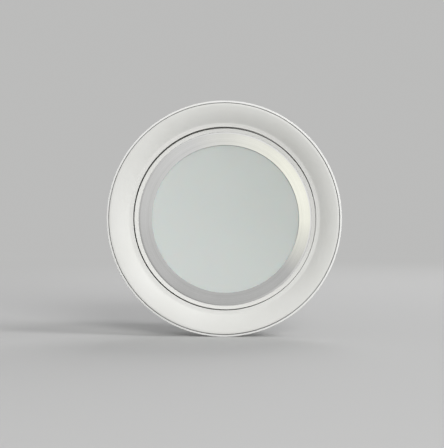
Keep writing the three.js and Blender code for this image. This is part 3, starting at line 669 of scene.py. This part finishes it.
# The ball's zone is a circle about the pivot's depth, and the rim's radius swings by a little as the cosine
# of twice the angle. Behind the rim the ball is cut flat at the pivots, by limiting |x|.
def headShell(sizes):
    rim, front, rear = trimSizes["lipRadius"] - sizes["seamWidth"], sizes["rimDepth"], sizes["rear"]
    bore = rim - sizes["rimWidth"]
    ball, land = sizes["ball"] + sizes["ballSwell"], front + sizes["rimLand"]
    depth = np.linspace(land, rear - sizes["ballEdge"], sizes["ballSteps"])
    zone = np.stack([np.sqrt(ball**2 - (depth - pivotDepth) ** 2), depth], 1)
    fall = (sizes["rimWidth"] - sizes["rimLedge"]) * np.tan(np.radians(sizes["rimSlope"]))
    pocket = sizes["glassRadius"] + 2 * seatGap
    chamber, shelfRear = pocket + sizes["pocketWall"], rear - sizes["chamber"]
    outline = rounded([
        (bore, front + fall, 0.12),
        (rim, front - sizes["rimRise"], sizes["rimRound"]),
        (rim, land, 0.15),
        *zone.tolist(),
        (np.sqrt(ball**2 - (rear - pivotDepth) ** 2), rear, 0.3),
        (chamber, rear, 0.2),
        (chamber, shelfRear),
        (sizes["shelfRadius"], shelfRear, 0.2),
        (sizes["shelfRadius"], shelfRear - sizes["shelf"], 0.2),
        (pocket, shelfRear - sizes["shelf"]),
        (pocket, sizes["glassFront"], 0.15),
        (bore, sizes["glassFront"]),
    ])
    onRim = (outline[:, 1] < land + sizes["ovalMargin"]) & (outline[:, 0] > rim - sizes["ovalDepth"])
    swing, widest = sizes["outOfRound"] / rim, np.radians(sizes["widestAt"])

    def oval(angle):
        return 1 + swing * np.cos(2 * (angle - widest))

    points, faces = lathe(outline, steps=288, lobes=onRim, shape=oval)
    points[:, [0, 2]] += sizes["offset"]
    limit = np.where(points[:, 1] > land + sizes["flatStart"], sizes["flat"], np.inf)
    points[:, 0] = np.clip(points[:, 0], -limit, limit)
    return points, faces


addPiece("headShell", headShell(headSizes), finishes["headLacquer"], "head", ["head_shell"])

frontRingSizes = {
    "width": 6.2,
    "edge": 0.5,
    "press": 0.33,  # beyond the solid's radius, out to the bore of the shell
    "land": 0.75,
    "landSlope": 9.0,  # degrees
}


# A ring turned about Y, whose face falls straight from a narrow land at its outside to the glass.
def frontRing(sizes):
    (_, front, _), (outer, rear, _) = extent("front_ring")
    inner = outer - sizes["width"]
    outer += sizes["press"]
    land = outer - sizes["land"]
    return lathe(rounded([
        (inner, rear - sizes["edge"], 0.2),
        (land, front + sizes["land"] * np.tan(np.radians(sizes["landSlope"])), 0.1),
        (outer, front, 0.05),
        (outer, rear, 0.15),
        (inner, rear, 0.1),
    ]), steps=288)


ringSurface = placed(frontRing(frontRingSizes), at=(headSizes["offset"][0], 0, headSizes["offset"][1]))
addPiece("frontRing", ringSurface, finishes["turnedAluminium"], "head", ["front_ring"])

glassSizes = {"edge": 0.3}


# A disc turned about Y, with rounded edges and its middle points at radius 0.
def glassDisc(sizes):
    (_, front, _), (radius, rear, _) = extent("diffuser_glass")
    return lathe(rounded([
        (0, front),
        (radius, front, sizes["edge"]),
        (radius, rear, sizes["edge"]),
        (0, rear),
    ], closed=False), steps=192, closed=False)


glass, frosted = glassDisc(glassSizes), finishes["frostedGlass"]
addPiece("diffuserGlass", glass, frosted, "head", ["diffuser_glass"])
print("head's front made")


sinkSizes = {
    "flangeRadius": extent("heat_sink")[1][0],
    "flangeFront": extent("sink_seal")[1][1] + seatGap,
    "flangeThickness": 3.0,
    "spigotRadius": 36.1,
    "spigotFront": extent("heat_sink")[0][1],
    "finInset": 3.2,
    "finRear": extent("heat_sink")[1][1],
    "finCount": 24,
    "finRoot": 1.1,  # half the fins' thickness at the hub
    "finTip": 0.7,
    "finEdge": 0.5,
    "finShoulder": 9.5,
    "finShelf": 5.6,  # from the hub out to where the fins reach their full depth
    "finValley": 0.8,  # from the hub out to the bottom of the step beside it
    "finInHub": 1.0,
    "finInFlange": 0.6,
    "finBelowHub": 0.3,  # in front of the hub's rear, where the fin runs into it
    "hubRadius": 13.0,
    "hubRecess": 4.0,
    "hubFlare": 0.4,  # how much wider it is at the flange
    "threadRadius": 6.3,
    "threadLength": 8.0,
    "boreRadius": 3.6,
}


# The base is one outline turned about Y. A fin is a plate in the plane of the axis, whose half thickness
# falls evenly from the hub to the tip, and the fins start half a step from +X.
def heatSink(sizes):
    hub, bore, thread = sizes["hubRadius"], sizes["boreRadius"], sizes["threadRadius"]
    flangeRear = sizes["flangeFront"] + sizes["flangeThickness"]
    rear = sizes["finRear"]
    hubRear = rear - sizes["hubRecess"]
    threadEnd = hubRear - sizes["threadLength"]
    base = rounded([
        (bore, sizes["spigotFront"]),
        (sizes["spigotRadius"], sizes["spigotFront"], 0.3),
        (sizes["spigotRadius"], sizes["flangeFront"]),
        (sizes["flangeRadius"], sizes["flangeFront"], 0.3),
        (sizes["flangeRadius"], flangeRear, 0.5),
        (hub + sizes["hubFlare"], flangeRear, 1.5),
        (hub, hubRear, 0.4),
        (thread, hubRear, 0.4),
        (thread, threadEnd),
        (bore, threadEnd),
    ])
    radius = sizes["flangeRadius"] - sizes["finInset"]
    inner, foot = hub - sizes["finInHub"], flangeRear - sizes["finInFlange"]
    fin = rounded([
        (inner, foot, 0.6),
        (radius, foot, 0.6),
        (radius, rear, sizes["finShoulder"]),
        (hub + sizes["finShelf"], rear, 1.5),
        (hub + sizes["finValley"], hubRear, 1.0),
        (inner, hubRear - sizes["finBelowHub"], 0.6),
    ], steps=12)
    along = (fin[:, 0] - hub) / (radius - hub)
    half = sizes["finRoot"] + (sizes["finTip"] - sizes["finRoot"]) * along
    plate = roundedPlate(fin, half, sizes["finEdge"])
    angles = (np.arange(sizes["finCount"]) + 0.5) * 2 * np.pi / sizes["finCount"]
    fins = [placed(plate, (np.cos(a), 0, np.sin(a)), (0, 1, 0), (-np.sin(a), 0, np.cos(a))) for a in angles]
    return joined(lathe(base, steps=192), *fins)


addPiece("heatSink", heatSink(sinkSizes), finishes["castAluminium"], "head", ["heat_sink"])
sealSizes = {"width": 1.5, "edge": 0.15}
sinkSeal = squareRing("sink_seal", **sealSizes)
addPiece("sinkSeal", sinkSeal, finishes["blackRubber"], "head", ["sink_seal"])
print("heat sink made")


# What the two kinds of screw have alike.
screwSizes = {
    "edge": 0.05,  # of the socket
    "crown": 0.62,  # share of the head's radius at which its top ends
    "shoulder": (0.95, 0.55),  # share of the head's radius and height at which its side starts
    "cone": 0.3,  # how deep the socket's floor and the screw's end fall to their middle
    "hexEnd": 0.35,  # beyond the socket, where the hexagon has turned into a circle
    "hexFade": 0.3,
}


# A screw along Y with its seat at zero and its head towards +Y. Its domed head has a hexagonal socket, whose
# points take the whole of the hexagon's shape while the rest stays round.
def socketScrew(sizes):
    radius, height, socket, edge = sizes["headRadius"], sizes["headHeight"], sizes["socket"], sizes["edge"]
    end = sizes["wholeLength"] - height
    wide, high = sizes["shoulder"]
    outline = rounded([
        (0, height - sizes["socketDepth"] - sizes["cone"]),
        (socket, height - sizes["socketDepth"], edge),
        (socket, height - edge, edge),
        (radius * sizes["crown"], height, 0.4),
        (radius * wide, height * high, 0.4),
        (radius, 0, 0.15),
        (sizes["shankRadius"], 0),
        (sizes["shankRadius"], -end),
        (0, -end - sizes["cone"]),
    ], closed=False, steps=5)
    lobes = np.clip((socket + sizes["hexEnd"] - outline[:, 0]) / sizes["hexFade"], 0, 1) * (outline[:, 1] > 0)
    return lathe(outline, steps=72, closed=False, lobes=lobes, shape=hexagon)


pivotScrewSizes = {
    **screwSizes,
    "headRadius": 3.0,
    "headHeight": 1.2,
    "shankRadius": 1.8,
    "wholeLength": np.ptp(extent("pivot_screw_right")[:, 0]),
    "socket": 1.15,
    "socketDepth": 0.8,
}
sinkScrewSizes = {
    **screwSizes,
    "headRadius": 2.6,
    "headHeight": 1.8,
    "shankRadius": 1.3,
    "wholeLength": np.ptp(extent("sink_screw_1")[:, 1]),
    "socket": 1.25,
    "socketDepth": 1.1,
}
washerSizes = {"bore": 2.1, "edge": 0.1}
pivotSeat = extent("pivot_screw_right")[1][0] - pivotScrewSizes["headHeight"]
pivotScrew = placed(aboutX(socketScrew(pivotScrewSizes), pivotDepth), at=(pivotSeat, 0, 0))
(washerInner, _, _), (washerOuter, _, washerRadius) = extent("friction_washer_right")
washerCorners = [(r, x) for x in (washerInner, washerOuter) for r in (washerSizes["bore"], washerRadius)]
washerCorners = [(*washerCorners[corner], washerSizes["edge"]) for corner in (0, 1, 3, 2)]
washer = aboutX(lathe(rounded(washerCorners), steps=64), pivotDepth)
for side, turn in (("right", placed), ("left", halfTurned)):
    name = side.capitalize()
    screwNode, washerNode = "pivot_screw_" + side, "friction_washer_" + side
    addPiece("pivotScrew" + name, turn(pivotScrew), finishes["zincSteel"], "head", [screwNode])
    addPiece("washer" + name, turn(washer), finishes["whiteMoulding"], "trim", [washerNode])
sinkScrew = socketScrew(sinkScrewSizes)
for number in "1234":
    node = "sink_screw_" + number
    middle = extent(node).mean(0)
    seat = (middle[0], extent(node)[1][1] - sinkScrewSizes["headHeight"], middle[2])
    surface = placed(sinkScrew, at=seat)
    addPiece("sinkScrew" + number, surface, finishes["zincSteel"], "head", [node])
print("screws made")


glandSizes = {
    "apothem": extent("gland_body")[1][0],
    "threadFront": extent("gland_body")[0][1],
    "threadLength": 8.0,
    "threadRadius": 6.0,
    "hexThickness": 4.0,
    "hexChamfer": (0.9, 0.5),  # inwards and along
    "neckRadius": 6.4,
    "neckRear": extent("gland_body")[1][1],
    "sealRadius": 4.95,
    "boreRadius": 3.6,
    "nutFront": extent("gland_nut")[0][1],
    "nutChamfer": (0.7, 0.4),
    "nutTaper": 1.6,  # how far in front of the shoulder the nut's sides start to narrow
    "crownRadii": (8.0, 6.2),  # at the shoulder and at the top
    "crown": 3.0,
    "top": extent("gland_nut")[1][1],
}


# Turned outlines, cut off at a hexagon: its corners lie at apothem / cos(30 degrees).
def glandBody(sizes):
    corner = sizes["apothem"] / np.cos(np.pi / 6)
    bore, neck, seal = sizes["boreRadius"], sizes["neckRadius"], sizes["sealRadius"]
    front = sizes["threadFront"] + sizes["threadLength"]
    rear = front + sizes["hexThickness"]
    inwards, along = sizes["hexChamfer"]
    outline = rounded([
        (bore, sizes["threadFront"]),
        (sizes["threadRadius"], sizes["threadFront"], 0.4),
        (sizes["threadRadius"], front),
        (corner - inwards, front, 0.1),
        (corner, front + along, 0.1),
        (corner, rear - along, 0.1),
        (corner - inwards, rear, 0.1),
        (neck, rear),
        (neck, sizes["neckRear"], 0.3),
        (seal, sizes["neckRear"], 0.2),
        (seal, rear),
        (bore, rear),
    ])
    return lathe(outline, steps=180, limit=lambda angle: sizes["apothem"] * hexagon(angle))


def glandNut(sizes):
    corner = sizes["apothem"] / np.cos(np.pi / 6)
    bore, inside = sizes["boreRadius"], sizes["neckRadius"] + seatGap
    shoulder = sizes["top"] - sizes["crown"]
    inwards, along = sizes["nutChamfer"]
    wide, narrow = sizes["crownRadii"]
    outline = rounded([
        (inside, sizes["nutFront"], 0.2),
        (corner - inwards, sizes["nutFront"], 0.2),
        (corner, sizes["nutFront"] + along, 0.1),
        (corner, shoulder - sizes["nutTaper"], 0.1),
        (wide, shoulder, 0.8),
        (narrow, sizes["top"], 1.2),
        (bore, sizes["top"], 0.4),
        (bore, sizes["neckRear"] + seatGap),
        (inside, sizes["neckRear"] + seatGap),
    ])
    return lathe(outline, steps=180, limit=lambda angle: sizes["apothem"] * hexagon(angle))


addPiece("glandBody", glandBody(glandSizes), finishes["blackNylon"], "head", ["gland_body"])
addPiece("glandNut", glandNut(glandSizes), finishes["blackNylon"], "head", ["gland_nut"])
print("cable gland made")


clipSizes = {
    "lean": 20.0,  # degrees, away from the skirt
    "web": -0.5,  # the sheet's middle, inside the line from the pin
    "sheet": 0.8,
    "halfWidth": extent("clip_arm_right")[1][2],
    "start": 2.9,  # from the pin to the front of the sheet
    "bend": 0.9,  # radius of the bends between web and ears
    "bendFade": (1.2, 0.8),  # the bends open from before the ears' ends to beyond them
    "earHeight": 2.6,
    "earFull": 6.5,  # from the pin, to where the ears start to fall
    "earEnd": 14.7,
    "earLeft": 0.3,  # height of the ears above the bends at their ends
    "curlRadius": 1.3,
    "curlAngle": 150.0,
    "lobeRadius": 2.1,  # of the round ends of the ears, about the pin
    "lobeRound": 2.05,
    "lobeOverlap": 0.7,  # with the ears
    "lobeFoot": 0.35,
    "lobeFront": 0.9,
    "lobeInset": 0.02,  # inside the faces of the ears that they continue
    "lobeEdge": 0.15,
    "ribDepth": 0.5,
    "ribHalfWidth": 2.2,
    "ribSlope": 1.0,
    "ribStart": (6.5, 8.0),  # from the pin
    "ribEnd": (4.5, 3.0),  # from the curl
    "lineSteps": (26, 14, 15),  # along the ears, beyond them and round the curl
    "sectionSteps": (15, 7, 4),  # across half the web, round a bend and up an ear
}
lean = np.radians(clipSizes["lean"])
curlOuter = clipSizes["curlRadius"] + clipSizes["sheet"] / 2
curlLift = (clipSizes["web"] + clipSizes["curlRadius"]) * np.sin(lean) - curlOuter - seatGap
armReach = (pinPlace[1] + curlLift) / np.cos(lean)  # to where the tip starts to curl, just off the flange


# The arm: a section carried along the sheet's middle line, which ends in a curl. The section is a flat web,
# a bend at each side and the two ears, laid out by length: web, arc of the bend's angle, then straight. The
# bend's angle falls to zero behind the ears, and a pressed rib lifts the middle of the web.
def clipArm(sizes):
    earSteps, endSteps, curlSteps = sizes["lineSteps"]
    straight = np.concatenate([
        np.linspace(sizes["start"], sizes["earEnd"], earSteps),
        np.linspace(sizes["earEnd"] + sizes["sheet"] / 2, armReach, endSteps),
    ])
    curl = np.radians(np.linspace(-90, sizes["curlAngle"] - 90, curlSteps)[1:])
    centre = (armReach, sizes["web"] + sizes["curlRadius"])
    lineX = np.concatenate([straight, centre[0] + sizes["curlRadius"] * np.cos(curl)])
    lineY = np.concatenate([0 * straight + sizes["web"], centre[1] + sizes["curlRadius"] * np.sin(curl)])
    turn = np.concatenate([0 * straight, curl + np.pi / 2])[:, None]
    length = np.concatenate([straight, armReach + sizes["curlRadius"] * (curl + np.pi / 2)])[:, None]
    bend, half = sizes["bend"], sizes["sheet"] / 2
    inner = sizes["halfWidth"] - half - bend
    before, beyond = sizes["bendFade"]
    angle = np.pi / 2 * (1 - smoothStep(length, sizes["earEnd"] - before, sizes["earEnd"] + beyond))
    earHeights = [sizes["earHeight"], bend + sizes["earLeft"]]
    height = np.interp(length, [sizes["earFull"], sizes["earEnd"]], earHeights)
    ear = np.where(length < sizes["earEnd"] + beyond, height - bend, 0.0)
    ear = ear + (sizes["halfWidth"] - inner - ear) * (1 - angle / (np.pi / 2))
    web, arc, rise = [np.linspace(0, 1, steps) for steps in sizes["sectionSteps"]]
    arc, rise = arc[1:], rise[1:]
    zero = 0 * length
    across = np.concatenate([
        zero + inner * web,
        inner + bend * np.sin(angle * arc),
        inner + bend * np.sin(angle) + ear * rise * np.cos(angle),
    ], 1)
    up = np.concatenate([
        zero + 0 * web,
        bend * (1 - np.cos(angle * arc)),
        bend * (1 - np.cos(angle)) + ear * rise * np.sin(angle),
    ], 1)
    tilt = np.concatenate([zero + 0 * web, angle * arc, angle + 0 * rise], 1)
    falling, gone = armReach - np.array(sizes["ribEnd"])
    ribAlong = smoothStep(length, *sizes["ribStart"]) * (1 - smoothStep(length, falling, gone))
    ribAcross = 1 - smoothStep(across, sizes["ribHalfWidth"] - sizes["ribSlope"], sizes["ribHalfWidth"])
    rib = sizes["ribDepth"] * ribAlong * ribAcross
    across = np.concatenate([-across[:, :0:-1], across], 1)
    up = np.concatenate([(up + rib)[:, :0:-1], up + rib], 1)
    tilt = np.concatenate([-tilt[:, :0:-1], tilt], 1)
    loopAcross = np.concatenate([across - half * np.sin(tilt), (across + half * np.sin(tilt))[:, ::-1]], 1)
    loopUp = np.concatenate([up + half * np.cos(tilt), (up - half * np.cos(tilt))[:, ::-1]], 1)
    grid = np.stack([
        lineX[:, None] - loopUp * np.sin(turn),
        lineY[:, None] + loopUp * np.cos(turn),
        loopAcross,
    ], -1)
    points, faces = gridSurface(grid, False, True)
    count = grid.shape[1]
    last = len(points) - count
    faces += [list(range(count))[::-1], list(range(last, last + count))]
    lobeEnd, wide = sizes["start"] + sizes["lobeOverlap"], sizes["lobeRadius"]
    lobe = rounded([
        (lobeEnd, sizes["web"] - half + sizes["lobeFoot"], 0.3),
        (lobeEnd, wide, 0.3),
        (-wide, wide, sizes["lobeRound"]),
        (-wide, -wide, sizes["lobeRound"]),
        (sizes["lobeFront"], -wide, 0.8),
    ], steps=10)[::-1]
    lobePlate = roundedPlate(lobe, half - sizes["lobeInset"], sizes["lobeEdge"])
    reach = sizes["halfWidth"] - half
    ears = [placed(lobePlate, at=(0, 0, -reach)), placed(lobePlate, z=(0, 0, -1), at=(0, 0, reach))]
    return joined((points, faces), *ears)


armAlong, armUp = (np.sin(lean), -np.cos(lean), 0), (np.cos(lean), np.sin(lean), 0)
clipArmRight = placed(clipArm(clipSizes), armAlong, armUp, at=pinPlace)
clipPinSizes = {"radius": 1.0, "headRadius": 1.5, "reach": 8.4, "headHeight": 0.8}


# A pin along Z with a rounded head at each end, turned about its axis.
def clipPin(sizes):
    end, top = sizes["reach"], sizes["reach"] + sizes["headHeight"]
    outline = rounded([
        (0, -top),
        (sizes["headRadius"], -top, 0.45),
        (sizes["headRadius"], -end, 0.1),
        (sizes["radius"], -end),
        (sizes["radius"], end),
        (sizes["headRadius"], end, 0.1),
        (sizes["headRadius"], top, 0.45),
        (0, top),
    ], closed=False)
    return placed(lathe(outline, steps=40, closed=False), (1, 0, 0), (0, 0, 1), (0, 1, 0), pinPlace)


springSizes = {
    "wire": 0.8,
    "coilRadius": 1.9,
    "pitch": 1.35,
    "turns": 3,
    "stopInset": 0.2,  # of the first leg, inwards from the pivots' seats, just clear of the stop wall
    "stopLeg": 6.0,
    "armSide": 0.6,  # of the last leg, out from the line along the arm
    "armLeg": 8.5,
    "steps": (24, 150, 32),  # along the first leg, the coil and the last leg
}


# The torsion spring: a straight leg that eases from the stop wall to the coil, a helix that winds down round
# the pin while it climbs evenly, and a leg that eases onto the outside of the arm.
def clipSpring(sizes):
    radius, wire = sizes["coilRadius"], sizes["wire"]
    firstSteps, coilSteps, lastSteps = sizes["steps"]
    winding = np.pi - lean + 2 * np.pi * sizes["turns"]
    halfHeight = sizes["pitch"] * winding / (4 * np.pi)
    left = np.linspace(sizes["stopLeg"], 0, firstSteps, endpoint=False)
    ease = smoothStep(left, radius, radius + 2 * wire)
    stopX = trimSizes["padFace"] - pinPlace[0] - sizes["stopInset"]
    firstLeg = np.stack([-radius + (stopX + radius) * ease, -left, 0 * left - halfHeight], 1)
    share = np.linspace(0, 1, coilSteps)
    turn = np.pi - winding * share
    coil = np.stack([radius * np.cos(turn), radius * np.sin(turn), halfHeight * (2 * share - 1)], 1)
    along = np.linspace(0, sizes["armLeg"], lastSteps)[1:]
    aside = radius + (sizes["armSide"] - radius) * smoothStep(along, radius, radius + 3 * wire)
    lastLeg = np.stack([
        along * np.sin(lean) + aside * np.cos(lean),
        -along * np.cos(lean) + aside * np.sin(lean),
        0 * along + halfHeight,
    ], 1)
    path = np.concatenate([firstLeg, coil, lastLeg])
    return placed(roundWire(path, wire / 2, sides=14), at=pinPlace), halfHeight


spring, springHalf = clipSpring(springSizes)
for side, turn, up in (("right", placed, 1), ("left", halfTurned, -1)):
    name = side.capitalize()
    steel, zinc = finishes["springSteel"], finishes["zincSteel"]
    armNode, pinNode, springNode = "clip_arm_" + side, "clip_pin_" + side, "clip_spring_" + side
    addPiece("clipArm" + name, turn(clipArmRight), steel, "clip_" + side, [armNode])
    addPiece("clipPin" + name, turn(clipPin(clipPinSizes)), zinc, "trim", [pinNode])
    coil = addPiece("clipSpring" + name, turn(spring), steel, None, [springNode])
    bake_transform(coil)
print("spring clips made")


innerFinishes = {
    "glass_gasket": "silicone",
    "mixing_reflector": "whiteMoulding",
    "led_board": "solderMask",
    "terminal_block": "whiteMoulding",
    "thermal_pad": "greyPad",
    "gland_seal": "blackRubber",
    "board_screw_1": "zincSteel",
    "board_screw_2": "zincSteel",
    "board_screw_3": "zincSteel",
}
for node, finish in innerFinishes.items():
    for slot in frame["nodes"][node].material_slots:
        slot.material = finishes[finish]
print("inner parts finished:", len(innerFinishes))


stageLook = {
    "backdrop": (0.50, 0.50, 0.495),
    "floorTints": (0.32, 0.62),  # in the light that it throws back, and as the camera sees it
    "floorRoughness": 0.9,
    "floorHeight": -0.06,  # metres
    "floorRings": (0, 0.1, 0.3, 1.0, 4.0),
    "floorSides": 96,
    "fadeStart": 0.25,  # metres from the object, where the floor starts to take the backdrop's colour
    "fadeEnd": 1.2,
    "ambient": (0.23, 0.23, 0.23),
    "behind": 1.8,  # how much brighter the room is behind the object
    "behindRange": (0.0, 0.6),  # share of +Y in the direction, from where it grows to where it is full
    "behindCamera": (0.30, 0.85),  # brightness that the metal reflects there, upper right and lower left
    "cameraSides": (0.35, -0.35),  # X + Z of the direction at which those two are full
    "cameraRange": (-0.80, -0.92),  # share of Y, from where they start to where they are full
}


# A disc that only the camera sees fade into the backdrop, and that the metal's reflections pass through.
def addFloor(look):
    angle = np.linspace(0, 2 * np.pi, look["floorSides"], endpoint=False)[:, None]
    radius = np.array(look["floorRings"])
    height = look["floorHeight"] + 0 * radius * angle
    grid = np.stack([radius * np.cos(angle), radius * np.sin(angle), height], -1)
    points, faces = gridSurface(grid, True, False)
    mesh = cleanMesh("floor", points, faces, merge=1e-5)
    if mesh.polygons[0].normal.z < 0:
        mesh.flip_normals()
    floor = bpy.data.objects.new("floor", mesh)
    scene.collection.objects.link(floor)
    material = bpy.data.materials.new("floor")
    material.use_nodes = True
    tree = material.node_tree
    shader, seen = tree.nodes["Principled BSDF"], isRay(tree, "Camera")
    feed(tree, shader.inputs["Base Color"], spread(tree, seen, *look["floorTints"], 0, 1))
    feed(tree, shader.inputs["Roughness"], look["floorRoughness"])
    feed(tree, shader.inputs["Specular IOR Level"], 0.0)
    place = addNode(tree, "TexCoord").outputs["Object"]
    away = addNode(tree, "VectorMath", {0: place}, operation="LENGTH").outputs["Value"]
    fade = spread(tree, away, 0, 1, look["fadeStart"], look["fadeEnd"], interpolation_type="SMOOTHSTEP")
    glow = addNode(tree, "Emission", {"Color": (*look["backdrop"], 1)}).outputs["Emission"]
    surface = mixedShader(tree, compute(tree, "MULTIPLY", seen, fade), shader.outputs["BSDF"], glow)
    clear = addNode(tree, "BsdfTransparent").outputs["BSDF"]
    surface = mixedShader(tree, isRay(tree, "Glossy"), surface, clear)
    feed(tree, tree.nodes["Material Output"].inputs["Surface"], surface)
    mesh.materials.append(material)


addFloor(stageLook)

# A plain room for the turned metal to reflect: grey and a little dimmer above, with one bright, creamy side
# at the left. Each entry is (turn, colour) round the Y axis. A turn is a share of a circle, 0 at +X, and
# grows towards +Z.
roomAround = [
    (0.0, (0.6, 0.6, 0.6)),
    (0.2, (0.5, 0.5, 0.5)),
    (0.4, (0.5, 0.5, 0.5)),
    (0.5, (1.0, 1.0, 0.9)),
    (0.6, (1.0, 1.0, 0.9)),
    (0.8, (0.7, 0.7, 0.7)),
]


# The camera sees the plain backdrop, metal reflects the room, and everything else gets the ambient light.
def addWorld(look, room):
    world = bpy.data.worlds.new("studio")
    scene.world = world
    world.use_nodes = True
    tree = world.node_tree
    place = addNode(tree, "TexCoord").outputs["Generated"]
    towards = addNode(tree, "SeparateXYZ", {"Vector": place}).outputs
    angle = compute(tree, "ARCTAN2", towards["Z"], towards["X"])
    turn = compute(tree, "FLOORED_MODULO", compute(tree, "DIVIDE", angle, 2 * np.pi), 1.0)
    ramp = addNode(tree, "ValToRGB", {"Fac": turn})
    first, last = ramp.color_ramp.elements
    first.position, last.position = room[0][0], 1.0
    first.color = last.color = (*room[0][1], 1)
    for share, colour in room[1:]:
        ramp.color_ramp.elements.new(share).color = (*colour, 1)
    sides = compute(tree, "ADD", towards["X"], towards["Z"])
    behindCamera = spread(tree, sides, *look["behindCamera"], *look["cameraSides"])
    isBehind = spread(tree, towards["Y"], 0.0, 1.0, *look["cameraRange"])
    inputs = {"Color": mixed(tree, isBehind, ramp.outputs["Color"], behindCamera)}
    reflected = addNode(tree, "Background", inputs).outputs["Background"]
    limits = (1.0, look["behind"], *look["behindRange"])
    strength = spread(tree, towards["Y"], *limits, interpolation_type="SMOOTHSTEP")
    ambient = tree.nodes["Background"]
    feed(tree, ambient.inputs["Color"], (*look["ambient"], 1))
    feed(tree, ambient.inputs["Strength"], strength)
    backdrop = addNode(tree, "Background", {"Color": (*look["backdrop"], 1)}).outputs["Background"]
    surface = mixedShader(tree, isRay(tree, "Glossy"), ambient.outputs["Background"], reflected)
    surface = mixedShader(tree, isRay(tree, "Camera"), surface, backdrop)
    feed(tree, tree.nodes["World Output"].inputs["Surface"], surface)


addWorld(stageLook, roomAround)

lampLooks = {
    "key": {
        "angle": 45.0,
        "offAxis": 25.0,
        "distance": 2.4,
        "size": 0.8,
        "power": 35.4,
        "tint": (1.0, 1.0, 0.985),
    },
    "side": {
        "angle": 45.0,
        "offAxis": 72.0,
        "distance": 2.4,
        "size": 0.8,
        "power": 16.0,
        "tint": (1.0, 1.0, 1.0),
    },
    "rear": {
        "angle": 75.0,
        "offAxis": 140.0,
        "distance": 1.3,
        "size": 0.8,
        "power": 5.5,
        "tint": (1.0, 1.0, 1.0),
    },
}


# A square lamp turned to the object. Its angle runs round the Y axis from +X towards +Z, and offAxis is
# measured from straight in front.
def addLamp(name, look):
    lamp = bpy.data.lights.new(name, "AREA")
    lamp.size, lamp.energy, lamp.color = look["size"], look["power"], look["tint"]
    angle, off = np.radians([look["angle"], look["offAxis"]])
    towards = Vector((np.sin(off) * np.cos(angle), -np.cos(off), np.sin(off) * np.sin(angle)))
    holder = bpy.data.objects.new(name, lamp)
    holder.location = towards * look["distance"]
    holder.rotation_mode = "QUATERNION"
    holder.rotation_quaternion = (-towards).to_track_quat("-Z", "Y")
    holder.visible_glossy = False
    scene.collection.objects.link(holder)


for name, look in lampLooks.items():
    addLamp(name, look)
print("stage set")
